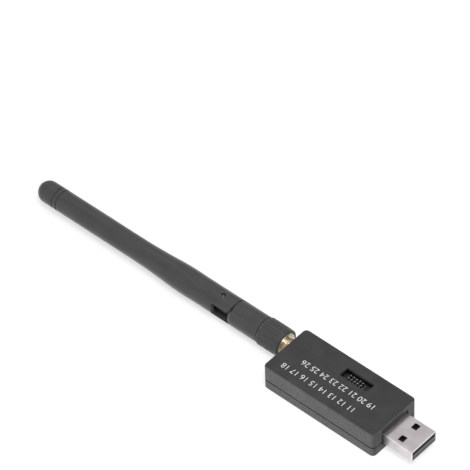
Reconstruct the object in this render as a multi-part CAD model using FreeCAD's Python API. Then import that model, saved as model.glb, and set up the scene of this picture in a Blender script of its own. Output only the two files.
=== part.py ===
import FreeCAD, Part

import math
import os

# A smart home USB radio stick: a snap-fit plastic case with a USB-A plug at one end, and at the
# other a coaxial jack that carries a screw-on whip antenna with a knurled nut and a tilting mast.
# Millimetres. The origin is the centre of the case's underside, +X points out of the USB plug,
# -X along the antenna, +Z up. Along the antenna, "reach" is the distance from the case's end wall.

# Case
CASE_LENGTH = 46.8
CASE_WIDTH = 21.3
CASE_HEIGHT = 10.2
CASE_CORNER_RADIUS = 1.6
TOP_EDGE_RADIUS = 0.5
BOTTOM_EDGE_RADIUS = 0.5
SMALLEST_RADIUS = 0.1
CASE_WALL = 1.4
CASE_FLOOR = 1.2
CASE_ROOF = 1.1
SEAM_HEIGHT = 3.95
SEAM_GROOVE = 0.35

# Lip of the bottom shell, which the top shell closes over, and its snap nubs
LIP_THICKNESS = 0.6
LIP_RISE = 1.0
LIP_CLEARANCE = 0.08
SNAP_LENGTH = 4.0
SNAP_HEIGHT = 0.35
SNAP_DEPTH = 0.22
SNAP_SPREAD = 26.0

# Window in the roof over the pin header
WINDOW_LENGTH = 11.4
WINDOW_WIDTH = 4.1
WINDOW_FORWARD = 3.8
WINDOW_SIDE = 4.4
WINDOW_CORNER_RADIUS = 0.3

# Mouth in the end wall round the USB plug
MOUTH_CLEARANCE = 0.5
MOUTH_HEADROOM = 0.2
MOUTH_FOOTROOM = 0.25
MOUTH_NOTCH_WIDTH = 1.2
MOUTH_NOTCH_HEIGHT = 1.1

# Circuit board and the posts that hold it
BOARD_THICKNESS = 1.6
BOARD_MIDDLE_HEIGHT = 5.3
BOARD_EDGE_CLEARANCE = 0.35
BOARD_CORNER_RADIUS = 0.8
POST_RADIUS = 1.4
PEG_RADIUS = 0.7
PEG_CLEARANCE = 0.1
PEG_RISE = 0.4
POST_EDGE_DISTANCE = 1.95
POST_LEG_CLEARANCE = 0.6
CLAMP_CLEARANCE = 0.05

# USB-A plug
PLUG_WIDTH = 12.0
PLUG_HEIGHT = 4.5
PLUG_LENGTH = 18.75
PLUG_REACH = 11.95
PLUG_MIDDLE_HEIGHT = 5.16
PLUG_SHEET = 0.3
PLUG_EDGE_RADIUS = 0.45
PLUG_SEAM_WIDTH = 0.12
PLUG_HOLE_LENGTH = 2.15
PLUG_HOLE_WIDTH = 2.45
PLUG_HOLE_SPACING = 6.5
PLUG_HOLE_SETBACK = 6.1
PLUG_EAR_LENGTH = 2.4
PLUG_EAR_WIDTH = 1.6
PLUG_EAR_SETBACK = 16.0
INSULATOR_SETBACK = 0.3
INSULATOR_CLEARANCE = 0.02
INSULATOR_THICKNESS = 1.8
PLUG_CAVITY_DEPTH = 11.9
CONTACT_WIDTH = 1.0
CONTACT_THICKNESS = 0.2
CONTACT_OFFSETS = (-3.5, -1.0, 1.0, 3.5)
CONTACT_SETBACK = 1.3
CONTACT_TAIL = 2.3
RISER_CLEARANCE = 0.6
PLUG_NOTCH_CLEARANCE = 0.15

# Pin header, two rows of five
HEADER_PITCH = 1.27
HEADER_COLUMNS = 5
HEADER_ROWS = 2
HEADER_FORWARD = 3.0
HEADER_SIDE = 4.7
HEADER_BODY_WIDTH = 3.4
HEADER_BODY_HEIGHT = 1.0
HEADER_PIN_WIDTH = 0.4
HEADER_PIN_RISE = 3.0
HEADER_PIN_DROP = 0.9
HEADER_HOLE_RADIUS = 0.34

# Parts soldered to the board: length, width, height, and where the centre is
SHIELD_SIZE = (11.0, 9.0, 1.9)
SHIELD_FROM_BOARD_END = 10.88
SHIELD_SIDE = -2.2
SHIELD_SHEET = 0.2
SHIELD_CORNER_RADIUS = 0.5
RADIO_CHIP_SIZE = (7.0, 7.0, 0.9)
BRIDGE_CHIP_SIZE = (5.0, 5.0, 0.9)
BRIDGE_CHIP_BEHIND_PLUG = 9.1
BRIDGE_CHIP_SIDE = -2.4
CRYSTAL_SIZE = (3.2, 2.5, 0.8)
CRYSTAL_PAST_SHIELD_CENTRE = 2.6
CRYSTAL_BESIDE_SHIELD = 1.45
REGULATOR_SIZE = (2.9, 1.6, 1.1)
REGULATOR_BEHIND_PLUG = 6.6
REGULATOR_SIDE = 3.6
CAPACITOR_SIZE = (1.6, 0.8, 0.8)
CAPACITOR_SIDE = -7.4
CAPACITOR_POST_CLEARANCE = 1.7
CAPACITOR_SPACING = 2.2
CAPACITOR_COUNT = 4

# Coaxial jack in the antenna end of the case
ANTENNA_SIDE = 4.5
ANTENNA_HEIGHT = 5.3
JACK_RADIUS = 3.175
JACK_REACH = 9.4
JACK_WALL_CLEARANCE = 0.2
JACK_MOUTH_RADIUS = 2.33
JACK_MOUTH_DEPTH = 1.9
JACK_BORE_RADIUS = 2.08
JACK_EDGE_CHAMFER = 0.3
FLANGE_WIDTH = 6.4
FLANGE_THICKNESS = 1.9
FLANGE_LEG_WIDTH = 1.0
FLANGE_LEG_LENGTH = 3.6
CONTACT_RADIUS = 0.64
SOCKET_RADIUS = 0.5
SOCKET_DEPTH = 3.2
TAIL_RADIUS = 0.4
TAIL_LENGTH = 2.2
TAIL_SLOT_CLEARANCE = 0.12
FIXED_CLEARANCE = 0.02
RUNNING_CLEARANCE = 0.05

# Antenna connector: ferrule, neck and tail of one turned brass piece
REFERENCE_GAP = 0.05
FERRULE_RADIUS = 2.28
NECK_START_REACH = 9.5
NECK_RADIUS = 2.9
TAIL_END_REACH = 19.2
BARB_RADIUS = 3.1
BARB_WIDTH = 1.2
BARB_PITCH = 2.3
BARB_COUNT = 3
BARB_SETBACK = 0.5
CONNECTOR_BORE_RADIUS = 2.05
DIELECTRIC_END_REACH = 14.2
PIN_TIP_RADIUS = 0.46
PIN_TIP_LENGTH = 2.5

# Snap ring between connector and nut
RING_REACH = 10.0
RING_THICKNESS = 0.4
RING_INNER_RADIUS = 2.55
RING_OUTER_RADIUS = 3.3
RING_GAP = 1.2
RING_GROOVE_CLEARANCE = 0.06

# Coupling nut and its knurled plastic sleeve
NUT_START_REACH = 3.05
NUT_COLLAR_RADIUS = 3.9
NUT_COLLAR_LENGTH = 2.35
NUT_ACROSS_FLATS = 7.8
NUT_END_REACH = 11.0
NUT_THREAD_CLEARANCE = 0.1
NUT_BACK_WALL = 1.3
SLEEVE_START_REACH = 3.2
SLEEVE_END_REACH = 12.2
SLEEVE_RADIUS = 5.1
SLEEVE_FRONT_ROUNDING = 0.5
SLEEVE_BACK_ROUNDING = 0.3
SLEEVE_NECK_CLEARANCE = 0.25
KNURL_COUNT = 28
KNURL_DEPTH = 0.22
KNURL_GROOVE_SHARE = 0.3
KNURL_FRONT_MARGIN = 1.1
KNURL_BACK_MARGIN = 0.6

# Swivel base of the antenna, with the hinge tongue
BASE_START_REACH = 12.6
BASE_RADIUS = 4.8
BASE_SHOULDER_REACH = 24.2
BASE_FRONT_ROUNDING = 0.35
TONGUE_ROOT_LENGTH = 0.9
TONGUE_ROOT_INSET = 0.35
TONGUE_HALF_THICKNESS = 2.3
TONGUE_ROUNDING_RADIUS = 3.2
TONGUE_FRONT_DISTANCE = 1.6
CABLE_CHANNEL_RADIUS = 1.08
CABLE_SLOT_BEHIND_PIN = 2.0

# Hinge between base and mast
HINGE_PAST_SHOULDER = 6.4
HINGE_PIN_RADIUS = 1.0
HINGE_PIN_DIMPLE = 0.5
HINGE_SIDE_CLEARANCE = 0.1
HINGE_END_CLEARANCE = 0.2
HINGE_STOP_CLEARANCE = 0.12
PARTING_GAP = 0.45
CHEEK_RELIEF_CLEARANCE = 0.12

# Mast: radius at the hinge, the swell above it, and the taper to the slim upper length
MAST_HINGE_RADIUS = 4.77
MAST_SWELL_REACH = 45.5
MAST_SWELL_RADIUS = 4.85
MAST_TURN_REACH = 53.5
MAST_TAPER_END_REACH = 70.0
MAST_UPPER_RADIUS = 4.025
MAST_END_REACH = 103.4
MAST_BORE_RADIUS = 2.9
MAST_BORE_START_REACH = 38.0
MAST_CABLE_HOLE_RADIUS = 1.2
MAST_END_ROUNDING = 0.25
FLAT_HEIGHT = 4.3
FLAT_LEVEL_END_REACH = 38.0
FLAT_RUN_OUT_REACH = 50.0

# Tip cap with its two grooves
CAP_GROOVE_WIDTH = 0.45
CAP_GROOVE_DEPTH = 0.4
CAP_RING_WIDTH = 1.45
CAP_STRAIGHT_LENGTH = 6.65
CAP_SPIGOT_LENGTH = 4.0
CAP_SPIGOT_CLEARANCE = 0.05

# Radiating parts inside the mast
CABLE_RADIUS = 0.9
DIPOLE_START_REACH = 47.0
DIPOLE_END_REACH = 70.0
DIPOLE_RADIUS = 2.25
DIPOLE_WALL = 0.25
DIPOLE_CAP_THICKNESS = 0.6
RADIATOR_RADIUS = 0.45
RADIATOR_CAP_CLEARANCE = 3.4
SPACER_WIDTH = 2.0
DIPOLE_SPACER_REACHES = (49.5, 65.5)
RADIATOR_SPACER_SETBACK = 5.0

# How far a cutter runs past what it cuts, and how deep joined solids reach into each other
OVERRUN = 1.0
MERGE = 0.2

# Places worked out from the sizes
END_WALL_X = -CASE_LENGTH / 2
PLUG_WALL_X = CASE_LENGTH / 2
BOARD_TOP = BOARD_MIDDLE_HEIGHT + BOARD_THICKNESS / 2
BOARD_BOTTOM = BOARD_MIDDLE_HEIGHT - BOARD_THICKNESS / 2
ROOF_UNDERSIDE = CASE_HEIGHT - CASE_ROOF
INNER_LENGTH = CASE_LENGTH - 2 * CASE_WALL
INNER_WIDTH = CASE_WIDTH - 2 * CASE_WALL
PLUG_FRONT_X = PLUG_WALL_X + PLUG_REACH
PLUG_BACK_X = PLUG_FRONT_X - PLUG_LENGTH
PLUG_BOTTOM = PLUG_MIDDLE_HEIGHT - PLUG_HEIGHT / 2
PLUG_TOP = PLUG_MIDDLE_HEIGHT + PLUG_HEIGHT / 2
REFERENCE_REACH = JACK_REACH - JACK_MOUTH_DEPTH
FLANGE_FRONT_REACH = -CASE_WALL
FLANGE_BACK_REACH = FLANGE_FRONT_REACH - FLANGE_THICKNESS
BOARD_END_X = END_WALL_X - FLANGE_BACK_REACH + FIXED_CLEARANCE
HINGE_REACH = BASE_SHOULDER_REACH + HINGE_PAST_SHOULDER
HINGE_X = END_WALL_X - HINGE_REACH
TONGUE_RECESS_RADIUS = TONGUE_ROUNDING_RADIUS + HINGE_END_CLEARANCE
CHEEK_REACH = BASE_SHOULDER_REACH + PARTING_GAP
CAP_CENTRE_REACH = MAST_END_REACH + CAP_STRAIGHT_LENGTH
RADIATOR_END_REACH = MAST_END_REACH - CAP_SPIGOT_LENGTH - RADIATOR_CAP_CLEARANCE
RADIATOR_SPACER_REACH = RADIATOR_END_REACH - RADIATOR_SPACER_SETBACK
SHIELD_PLACE = (BOARD_END_X + SHIELD_FROM_BOARD_END, SHIELD_SIDE)
BRIDGE_CHIP_PLACE = (PLUG_BACK_X - BRIDGE_CHIP_BEHIND_PLUG, BRIDGE_CHIP_SIDE)
REGULATOR_PLACE = (PLUG_BACK_X - REGULATOR_BEHIND_PLUG, REGULATOR_SIDE)
CRYSTAL_SIDE = SHIELD_SIDE + SHIELD_SIZE[1] / 2 + CRYSTAL_BESIDE_SHIELD + CRYSTAL_SIZE[1] / 2
CRYSTAL_PLACE = (SHIELD_PLACE[0] + CRYSTAL_PAST_SHIELD_CENTRE, CRYSTAL_SIDE)

AXIS_POINT = FreeCAD.Vector(END_WALL_X, ANTENNA_SIDE, ANTENNA_HEIGHT)
AXIS_WAY = FreeCAD.Vector(-1, 0, 0)


def block(x0, x1, y0, y1, z0, z1):
    """A box between two corners."""
    return Part.makeBox(x1 - x0, y1 - y0, z1 - z0, FreeCAD.Vector(x0, y0, z0))


def centred_block(place, size, bottom):
    """A box on a level, centred on a place in plan."""
    half_length = size[0] / 2
    half_width = size[1] / 2
    x, y = place
    top = bottom + size[2]
    return block(x - half_length, x + half_length, y - half_width, y + half_width, bottom, top)


def upright_edges(shape):
    """The edges that run along Z."""
    found = []
    for edge in shape.Edges:
        if edge.BoundBox.XLength < 1e-4 and edge.BoundBox.YLength < 1e-4:
            found.append(edge)
    return found


def edges_at_height(shape, height):
    """The edges that lie flat at one height."""
    found = []
    for edge in shape.Edges:
        box = edge.BoundBox
        if abs(box.ZMin - height) < 1e-4 and abs(box.ZMax - height) < 1e-4:
            found.append(edge)
    return found


def rounded_prism(length, width, corner_radius, z0, z1):
    """An upright prism on the origin with rounded corners in plan."""
    prism = block(-length / 2, length / 2, -width / 2, width / 2, z0, z1)
    return prism.makeFillet(corner_radius, upright_edges(prism))


def case_prism(inset, z0, z1):
    """The case's outline drawn in by an inset, between two heights."""
    radius = max(CASE_CORNER_RADIUS - inset, SMALLEST_RADIUS)
    return rounded_prism(CASE_LENGTH - 2 * inset, CASE_WIDTH - 2 * inset, radius, z0, z1)


def upright_rod(x, y, radius, z0, z1):
    """A rod along Z."""
    return Part.makeCylinder(radius, z1 - z0, FreeCAD.Vector(x, y, z0))


def axis_point(reach, radius):
    """A point in the upright plane through the antenna's axis."""
    return FreeCAD.Vector(END_WALL_X - reach, ANTENNA_SIDE, ANTENNA_HEIGHT + radius)


def rod(reach0, reach1, radius):
    """A rod on the antenna's axis."""
    return Part.makeCylinder(radius, reach1 - reach0, axis_point(reach0, 0), AXIS_WAY)


def tube(reach0, reach1, outer_radius, inner_radius):
    """A tube on the antenna's axis."""
    return rod(reach0, reach1, outer_radius).cut(rod(reach0, reach1, inner_radius))


def turned(outline):
    """A piece turned about the antenna's axis from (reach, radius) points, closed along the axis."""
    points = [axis_point(reach, radius) for reach, radius in outline]
    wire = Part.makePolygon(points + [points[0]])
    return Part.Face(wire).revolve(AXIS_POINT, AXIS_WAY, 360)


def round_edges_at(shape, reach, radius, rounding):
    """Rounds the circle of one radius about the antenna's axis at one reach."""
    x = END_WALL_X - reach
    found = []
    for edge in shape.Edges:
        box = edge.BoundBox
        flat = abs(box.XMin - x) < 1e-4 and abs(box.XMax - x) < 1e-4
        if flat and abs(box.ZMax - ANTENNA_HEIGHT - radius) < 1e-3:
            found.append(edge)
    return shape.makeFillet(rounding, found)


def jack_hole():
    """The case's hole round the jack, open down to the seam so that the top shell drops over it."""
    radius = JACK_RADIUS + JACK_WALL_CLEARANCE
    hole = rod(-CASE_WALL - OVERRUN, OVERRUN, radius)
    drop = block(
        END_WALL_X - OVERRUN,
        END_WALL_X + CASE_WALL + OVERRUN,
        ANTENNA_SIDE - radius,
        ANTENNA_SIDE + radius,
        SEAM_HEIGHT,
        ANTENNA_HEIGHT,
    )
    return hole.fuse(drop)


def plug_mouth():
    """The opening in the end wall round the USB plug, with a small notch over each end."""
    half_width = PLUG_WIDTH / 2 + MOUTH_CLEARANCE
    x0 = PLUG_WALL_X - CASE_WALL - OVERRUN
    x1 = PLUG_WALL_X + OVERRUN
    top = PLUG_TOP + MOUTH_HEADROOM
    mouth = block(x0, x1, -half_width, half_width, PLUG_BOTTOM - MOUTH_FOOTROOM, top)
    for side in (-1, 1):
        outer = side * half_width
        inner = side * (half_width - MOUTH_NOTCH_WIDTH)
        notch = block(x0, x1, min(outer, inner), max(outer, inner), top - MERGE, top + MOUTH_NOTCH_HEIGHT)
        mouth = mouth.fuse(notch)
    return mouth


def snap_prisms(grow):
    """The four snap nubs on the lip, or with some growth the recesses that take them."""
    face = CASE_WIDTH / 2 - CASE_WALL + LIP_THICKNESS
    middle = SEAM_HEIGHT + LIP_RISE / 2
    prisms = []
    for x in (-SNAP_SPREAD / 2, SNAP_SPREAD / 2):
        for side in (-1, 1):
            near = side * (face - MERGE)
            far = side * (face + SNAP_DEPTH + grow)
            prisms.append(
                block(
                    x - SNAP_LENGTH / 2 - grow,
                    x + SNAP_LENGTH / 2 + grow,
                    min(near, far),
                    max(near, far),
                    middle - SNAP_HEIGHT / 2 - grow,
                    middle + SNAP_HEIGHT / 2 + grow,
                )
            )
    return prisms


def post_places():
    """Where the board is held: beside the jack, behind it, and at the plug end."""
    side = INNER_WIDTH / 2 - BOARD_EDGE_CLEARANCE - POST_EDGE_DISTANCE
    plug_end = PLUG_BACK_X - RISER_CLEARANCE - CONTACT_TAIL - POST_RADIUS
    jack_end = BOARD_END_X + POST_EDGE_DISTANCE
    behind_jack = END_WALL_X - FLANGE_BACK_REACH + FLANGE_LEG_LENGTH + POST_RADIUS + POST_LEG_CLEARANCE
    return [(jack_end, -side), (behind_jack, side), (plug_end, -side), (plug_end, side)]


def bottom_shell():
    """The tray: floor, low walls, inner lip, snap nubs and the board's posts with their pegs."""
    wall_top = SEAM_HEIGHT - SEAM_GROOVE / 2
    lip_top = SEAM_HEIGHT + LIP_RISE
    tray = case_prism(0, 0, wall_top)
    tray = tray.makeFillet(BOTTOM_EDGE_RADIUS, edges_at_height(tray, 0))
    tray = tray.fuse(case_prism(CASE_WALL - LIP_THICKNESS, CASE_FLOOR, lip_top))
    tray = tray.fuse(snap_prisms(0))
    tray = tray.cut(case_prism(CASE_WALL, CASE_FLOOR, lip_top + OVERRUN))
    for x, y in post_places():
        tray = tray.fuse(upright_rod(x, y, POST_RADIUS, CASE_FLOOR - MERGE, BOARD_BOTTOM))
        tray = tray.fuse(upright_rod(x, y, PEG_RADIUS, BOARD_BOTTOM - MERGE, BOARD_TOP + PEG_RISE))
    return tray.cut([jack_hole(), plug_mouth()]).removeSplitter()


def top_shell():
    """The cover: roof with the header window, walls rebated over the lip, and clamping posts."""
    wall_bottom = SEAM_HEIGHT + SEAM_GROOVE / 2
    cover = case_prism(0, wall_bottom, CASE_HEIGHT)
    cover = cover.makeFillet(TOP_EDGE_RADIUS, edges_at_height(cover, CASE_HEIGHT))
    cover = cover.cut(case_prism(CASE_WALL, wall_bottom - OVERRUN, ROOF_UNDERSIDE))
    rebate_inset = CASE_WALL - LIP_THICKNESS - LIP_CLEARANCE
    cover = cover.cut(case_prism(rebate_inset, wall_bottom - OVERRUN, SEAM_HEIGHT + LIP_RISE))
    cover = cover.cut(snap_prisms(LIP_CLEARANCE))
    for x, y in post_places():
        post = upright_rod(x, y, POST_RADIUS, BOARD_TOP + CLAMP_CLEARANCE, ROOF_UNDERSIDE + MERGE)
        room = upright_rod(x, y, PEG_RADIUS + PEG_CLEARANCE, BOARD_TOP, BOARD_TOP + PEG_RISE + PEG_CLEARANCE)
        cover = cover.fuse(post.cut(room))
    low = ROOF_UNDERSIDE - OVERRUN
    high = CASE_HEIGHT + OVERRUN
    window = rounded_prism(WINDOW_LENGTH, WINDOW_WIDTH, WINDOW_CORNER_RADIUS, low, high)
    window.translate(FreeCAD.Vector(WINDOW_FORWARD, WINDOW_SIDE, 0))
    return cover.cut([window, jack_hole(), plug_mouth()]).removeSplitter()


def header_places():
    """The centre of each header pin in plan."""
    places = []
    for column in range(HEADER_COLUMNS):
        for row in range(HEADER_ROWS):
            x = HEADER_FORWARD + (column - (HEADER_COLUMNS - 1) / 2) * HEADER_PITCH
            y = HEADER_SIDE + (row - (HEADER_ROWS - 1) / 2) * HEADER_PITCH
            places.append((x, y))
    return places


def circuit_board():
    """The board, notched round the sunk USB plug and slotted for the jack's contact."""
    x1 = INNER_LENGTH / 2 - BOARD_EDGE_CLEARANCE
    half_width = INNER_WIDTH / 2 - BOARD_EDGE_CLEARANCE
    board = block(BOARD_END_X, x1, -half_width, half_width, BOARD_BOTTOM, BOARD_TOP)
    board = board.makeFillet(BOARD_CORNER_RADIUS, upright_edges(board))
    notch_half = PLUG_WIDTH / 2 + PLUG_NOTCH_CLEARANCE
    holes = [block(PLUG_BACK_X - RISER_CLEARANCE, x1 + OVERRUN, -notch_half, notch_half, 0, CASE_HEIGHT)]
    slot_half = TAIL_RADIUS + TAIL_SLOT_CLEARANCE
    slot_end = BOARD_END_X + TAIL_LENGTH + TAIL_SLOT_CLEARANCE
    slot_sides = (ANTENNA_SIDE - slot_half, ANTENNA_SIDE + slot_half)
    holes.append(block(BOARD_END_X - OVERRUN, slot_end, slot_sides[0], slot_sides[1], 0, CASE_HEIGHT))
    for x, y in post_places():
        holes.append(upright_rod(x, y, PEG_RADIUS + PEG_CLEARANCE, 0, CASE_HEIGHT))
    for x, y in header_places():
        holes.append(upright_rod(x, y, HEADER_HOLE_RADIUS, 0, CASE_HEIGHT))
    return board.cut(holes)


def plug_box(inset, x0, x1):
    """The USB plug's outline drawn in by an inset, between two places along X."""
    half_width = PLUG_WIDTH / 2 - inset
    box = block(x0, x1, -half_width, half_width, PLUG_BOTTOM + inset, PLUG_TOP - inset)
    radius = max(PLUG_EDGE_RADIUS - inset, SMALLEST_RADIUS)
    long_edges = [e for e in box.Edges if e.BoundBox.YLength < 1e-4 and e.BoundBox.ZLength < 1e-4]
    return box.makeFillet(radius, long_edges)


def usb_shell():
    """The folded sheet shell, with its latch holes, underside seam and two solder ears."""
    shell = plug_box(0, PLUG_BACK_X, PLUG_FRONT_X)
    ear_back = PLUG_FRONT_X - PLUG_EAR_SETBACK
    ear_half = PLUG_WIDTH / 2 + PLUG_EAR_WIDTH
    ear_front = ear_back + PLUG_EAR_LENGTH
    ears = block(ear_back, ear_front, -ear_half, ear_half, BOARD_TOP, BOARD_TOP + PLUG_SHEET)
    shell = shell.fuse(ears)
    cuts = [plug_box(PLUG_SHEET, PLUG_BACK_X - OVERRUN, PLUG_FRONT_X + OVERRUN)]
    hole_x = PLUG_FRONT_X - PLUG_HOLE_SETBACK
    for side in (-1, 1):
        hole_size = (PLUG_HOLE_LENGTH, PLUG_HOLE_WIDTH, PLUG_HEIGHT + 2 * OVERRUN)
        hole_place = (hole_x, side * PLUG_HOLE_SPACING / 2)
        cuts.append(centred_block(hole_place, hole_size, PLUG_BOTTOM - OVERRUN))
    half_seam = PLUG_SEAM_WIDTH / 2
    x0 = PLUG_BACK_X - OVERRUN
    x1 = PLUG_FRONT_X + OVERRUN
    cuts.append(block(x0, x1, -half_seam, half_seam, PLUG_BOTTOM - OVERRUN, PLUG_BOTTOM + 2 * PLUG_SHEET))
    return shell.cut(cuts)


def contact_level():
    """The height of the plug insulator's contact face."""
    return PLUG_BOTTOM + PLUG_SHEET + INSULATOR_CLEARANCE + INSULATOR_THICKNESS


def usb_contacts():
    """Four spring contacts, flat on the insulator and stepped up onto the board behind it."""
    low = contact_level()
    front = PLUG_FRONT_X - CONTACT_SETBACK
    riser = PLUG_BACK_X - RISER_CLEARANCE / 2 - CONTACT_THICKNESS / 2
    tail = PLUG_BACK_X - RISER_CLEARANCE - CONTACT_TAIL
    outline = [
        (front, low),
        (front, low + CONTACT_THICKNESS),
        (riser + CONTACT_THICKNESS, low + CONTACT_THICKNESS),
        (riser + CONTACT_THICKNESS, BOARD_TOP + CONTACT_THICKNESS),
        (tail, BOARD_TOP + CONTACT_THICKNESS),
        (tail, BOARD_TOP),
        (riser, BOARD_TOP),
        (riser, low),
    ]
    strips = []
    for offset in CONTACT_OFFSETS:
        points = [FreeCAD.Vector(x, offset - CONTACT_WIDTH / 2, z) for x, z in outline]
        face = Part.Face(Part.makePolygon(points + [points[0]]))
        strips.append(face.extrude(FreeCAD.Vector(0, CONTACT_WIDTH, 0)))
    return Part.makeCompound(strips)


def usb_insulator():
    """The plug's moulded insulator: a thin tongue under the contacts and a full block behind."""
    inset = PLUG_SHEET + INSULATOR_CLEARANCE
    half_width = PLUG_WIDTH / 2 - inset
    floor = PLUG_BOTTOM + inset
    body = plug_box(inset, PLUG_BACK_X, PLUG_FRONT_X - INSULATOR_SETBACK)
    cavity_back = PLUG_FRONT_X - PLUG_CAVITY_DEPTH
    cavity = block(cavity_back, PLUG_FRONT_X, -half_width, half_width, floor + INSULATOR_THICKNESS, PLUG_TOP)
    return body.cut(cavity).cut(usb_contacts())


def header_pins():
    """Square pins through the board."""
    pins = []
    for place in header_places():
        length = HEADER_PIN_DROP + BOARD_THICKNESS + HEADER_PIN_RISE
        size = (HEADER_PIN_WIDTH, HEADER_PIN_WIDTH, length)
        pins.append(centred_block(place, size, BOARD_BOTTOM - HEADER_PIN_DROP))
    return Part.makeCompound(pins)


def header_body():
    """The header's moulded strip, with a hole at each pin."""
    size = (HEADER_COLUMNS * HEADER_PITCH, HEADER_BODY_WIDTH, HEADER_BODY_HEIGHT)
    strip = centred_block((HEADER_FORWARD, HEADER_SIDE), size, BOARD_TOP)
    return strip.cut(header_pins())


def radio_shield():
    """A drawn metal can over the radio chip, open underneath."""
    length, width, height = SHIELD_SIZE
    can = centred_block(SHIELD_PLACE, SHIELD_SIZE, BOARD_TOP)
    can = can.makeFillet(SHIELD_CORNER_RADIUS, upright_edges(can))
    room_size = (length - 2 * SHIELD_SHEET, width - 2 * SHIELD_SHEET, height)
    return can.cut(centred_block(SHIELD_PLACE, room_size, BOARD_TOP - SHIELD_SHEET))


def chip_capacitors():
    """A row of like chip capacitors, back from the post at the plug end."""
    post_x = post_places()[2][0]
    last_x = post_x - POST_RADIUS - CAPACITOR_POST_CLEARANCE - CAPACITOR_SIZE[0] / 2
    chips = []
    for index in range(CAPACITOR_COUNT):
        place = (last_x - index * CAPACITOR_SPACING, CAPACITOR_SIDE)
        chips.append(centred_block(place, CAPACITOR_SIZE, BOARD_TOP))
    return Part.makeCompound(chips)


def jack_body():
    """The jack: barrel through the end wall, square flange behind it, four legs on the board."""
    body = rod(FLANGE_BACK_REACH, JACK_REACH, JACK_RADIUS)
    half = FLANGE_WIDTH / 2
    back_x = END_WALL_X - FLANGE_BACK_REACH
    front_x = END_WALL_X - FLANGE_FRONT_REACH
    flange_place = ((front_x + back_x) / 2, ANTENNA_SIDE)
    flange_size = (FLANGE_THICKNESS, FLANGE_WIDTH, FLANGE_WIDTH)
    body = body.fuse(centred_block(flange_place, flange_size, ANTENNA_HEIGHT - half))
    for side in (-1, 1):
        leg_side = ANTENNA_SIDE + side * (half - FLANGE_LEG_WIDTH / 2)
        size = (FLANGE_LEG_LENGTH + MERGE, FLANGE_LEG_WIDTH, FLANGE_LEG_WIDTH)
        place = (back_x + (FLANGE_LEG_LENGTH - MERGE) / 2, leg_side)
        body = body.fuse(centred_block(place, size, BOARD_TOP))
        body = body.fuse(centred_block(place, size, BOARD_BOTTOM - FLANGE_LEG_WIDTH))
    body = body.cut(rod(REFERENCE_REACH, JACK_REACH + OVERRUN, JACK_MOUTH_RADIUS))
    body = body.cut(rod(FLANGE_BACK_REACH - OVERRUN, REFERENCE_REACH + MERGE, JACK_BORE_RADIUS))
    rim = [e for e in body.Edges if abs(e.BoundBox.XMax - (END_WALL_X - JACK_REACH)) < 1e-4]
    rim = [e for e in rim if abs(e.BoundBox.ZMax - ANTENNA_HEIGHT - JACK_RADIUS) < 1e-3]
    return body.makeChamfer(JACK_EDGE_CHAMFER, rim)


def jack_insulator():
    """The jack's dielectric, flush with the reference plane."""
    outer = JACK_BORE_RADIUS - FIXED_CLEARANCE
    return tube(FLANGE_BACK_REACH, REFERENCE_REACH, outer, CONTACT_RADIUS + FIXED_CLEARANCE)


def jack_contact():
    """The jack's centre contact: a socket at the front and a thin tail in the board's slot."""
    contact = rod(FLANGE_BACK_REACH, REFERENCE_REACH, CONTACT_RADIUS)
    contact = contact.fuse(rod(FLANGE_BACK_REACH - TAIL_LENGTH, FLANGE_BACK_REACH + MERGE, TAIL_RADIUS))
    return contact.cut(rod(REFERENCE_REACH - SOCKET_DEPTH, REFERENCE_REACH + OVERRUN, SOCKET_RADIUS))


def connector_body():
    """The antenna's turned connector: ferrule, neck with ring groove, and barbed tail."""
    face_reach = REFERENCE_REACH + REFERENCE_GAP
    body = rod(face_reach, NECK_START_REACH + MERGE, FERRULE_RADIUS)
    body = body.fuse(rod(NECK_START_REACH, TAIL_END_REACH, NECK_RADIUS))
    for index in range(BARB_COUNT):
        start = BASE_START_REACH + BARB_SETBACK + index * BARB_PITCH
        body = body.fuse(rod(start, start + BARB_WIDTH, BARB_RADIUS))
    bore = rod(face_reach - OVERRUN, DIELECTRIC_END_REACH, CONNECTOR_BORE_RADIUS)
    cable_bore = rod(DIELECTRIC_END_REACH - MERGE, TAIL_END_REACH + OVERRUN, CABLE_RADIUS + FIXED_CLEARANCE)
    groove_start = RING_REACH - RING_GROOVE_CLEARANCE
    groove_end = RING_REACH + RING_THICKNESS + RING_GROOVE_CLEARANCE
    groove = tube(groove_start, groove_end, NECK_RADIUS + OVERRUN, RING_INNER_RADIUS - RING_GROOVE_CLEARANCE)
    return body.cut([bore, cable_bore, groove])


def connector_insulator():
    """The dielectric inside the connector."""
    outer = CONNECTOR_BORE_RADIUS - FIXED_CLEARANCE
    inner = CONTACT_RADIUS + FIXED_CLEARANCE
    return tube(REFERENCE_REACH + REFERENCE_GAP, DIELECTRIC_END_REACH - FIXED_CLEARANCE, outer, inner)


def centre_pin():
    """The connector's pin, which enters the jack's socket, with a coned tip."""
    face_reach = REFERENCE_REACH + REFERENCE_GAP
    tip_reach = face_reach - PIN_TIP_LENGTH
    end_reach = DIELECTRIC_END_REACH - FIXED_CLEARANCE
    outline = [
        (tip_reach, 0),
        (tip_reach, PIN_TIP_RADIUS / 2),
        (tip_reach + PIN_TIP_RADIUS, PIN_TIP_RADIUS),
        (face_reach, PIN_TIP_RADIUS),
        (face_reach, CONTACT_RADIUS),
        (end_reach, CONTACT_RADIUS),
        (end_reach, 0),
    ]
    return turned(outline)


def snap_ring():
    """An open ring that sits in the connector's groove and the nut's."""
    ring = tube(RING_REACH, RING_REACH + RING_THICKNESS, RING_OUTER_RADIUS, RING_INNER_RADIUS)
    x = END_WALL_X - RING_REACH
    half_gap = RING_GAP / 2
    gap = block(
        x - RING_THICKNESS - OVERRUN,
        x + OVERRUN,
        ANTENNA_SIDE - half_gap,
        ANTENNA_SIDE + half_gap,
        ANTENNA_HEIGHT - RING_OUTER_RADIUS - OVERRUN,
        ANTENNA_HEIGHT,
    )
    return ring.cut(gap)


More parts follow.
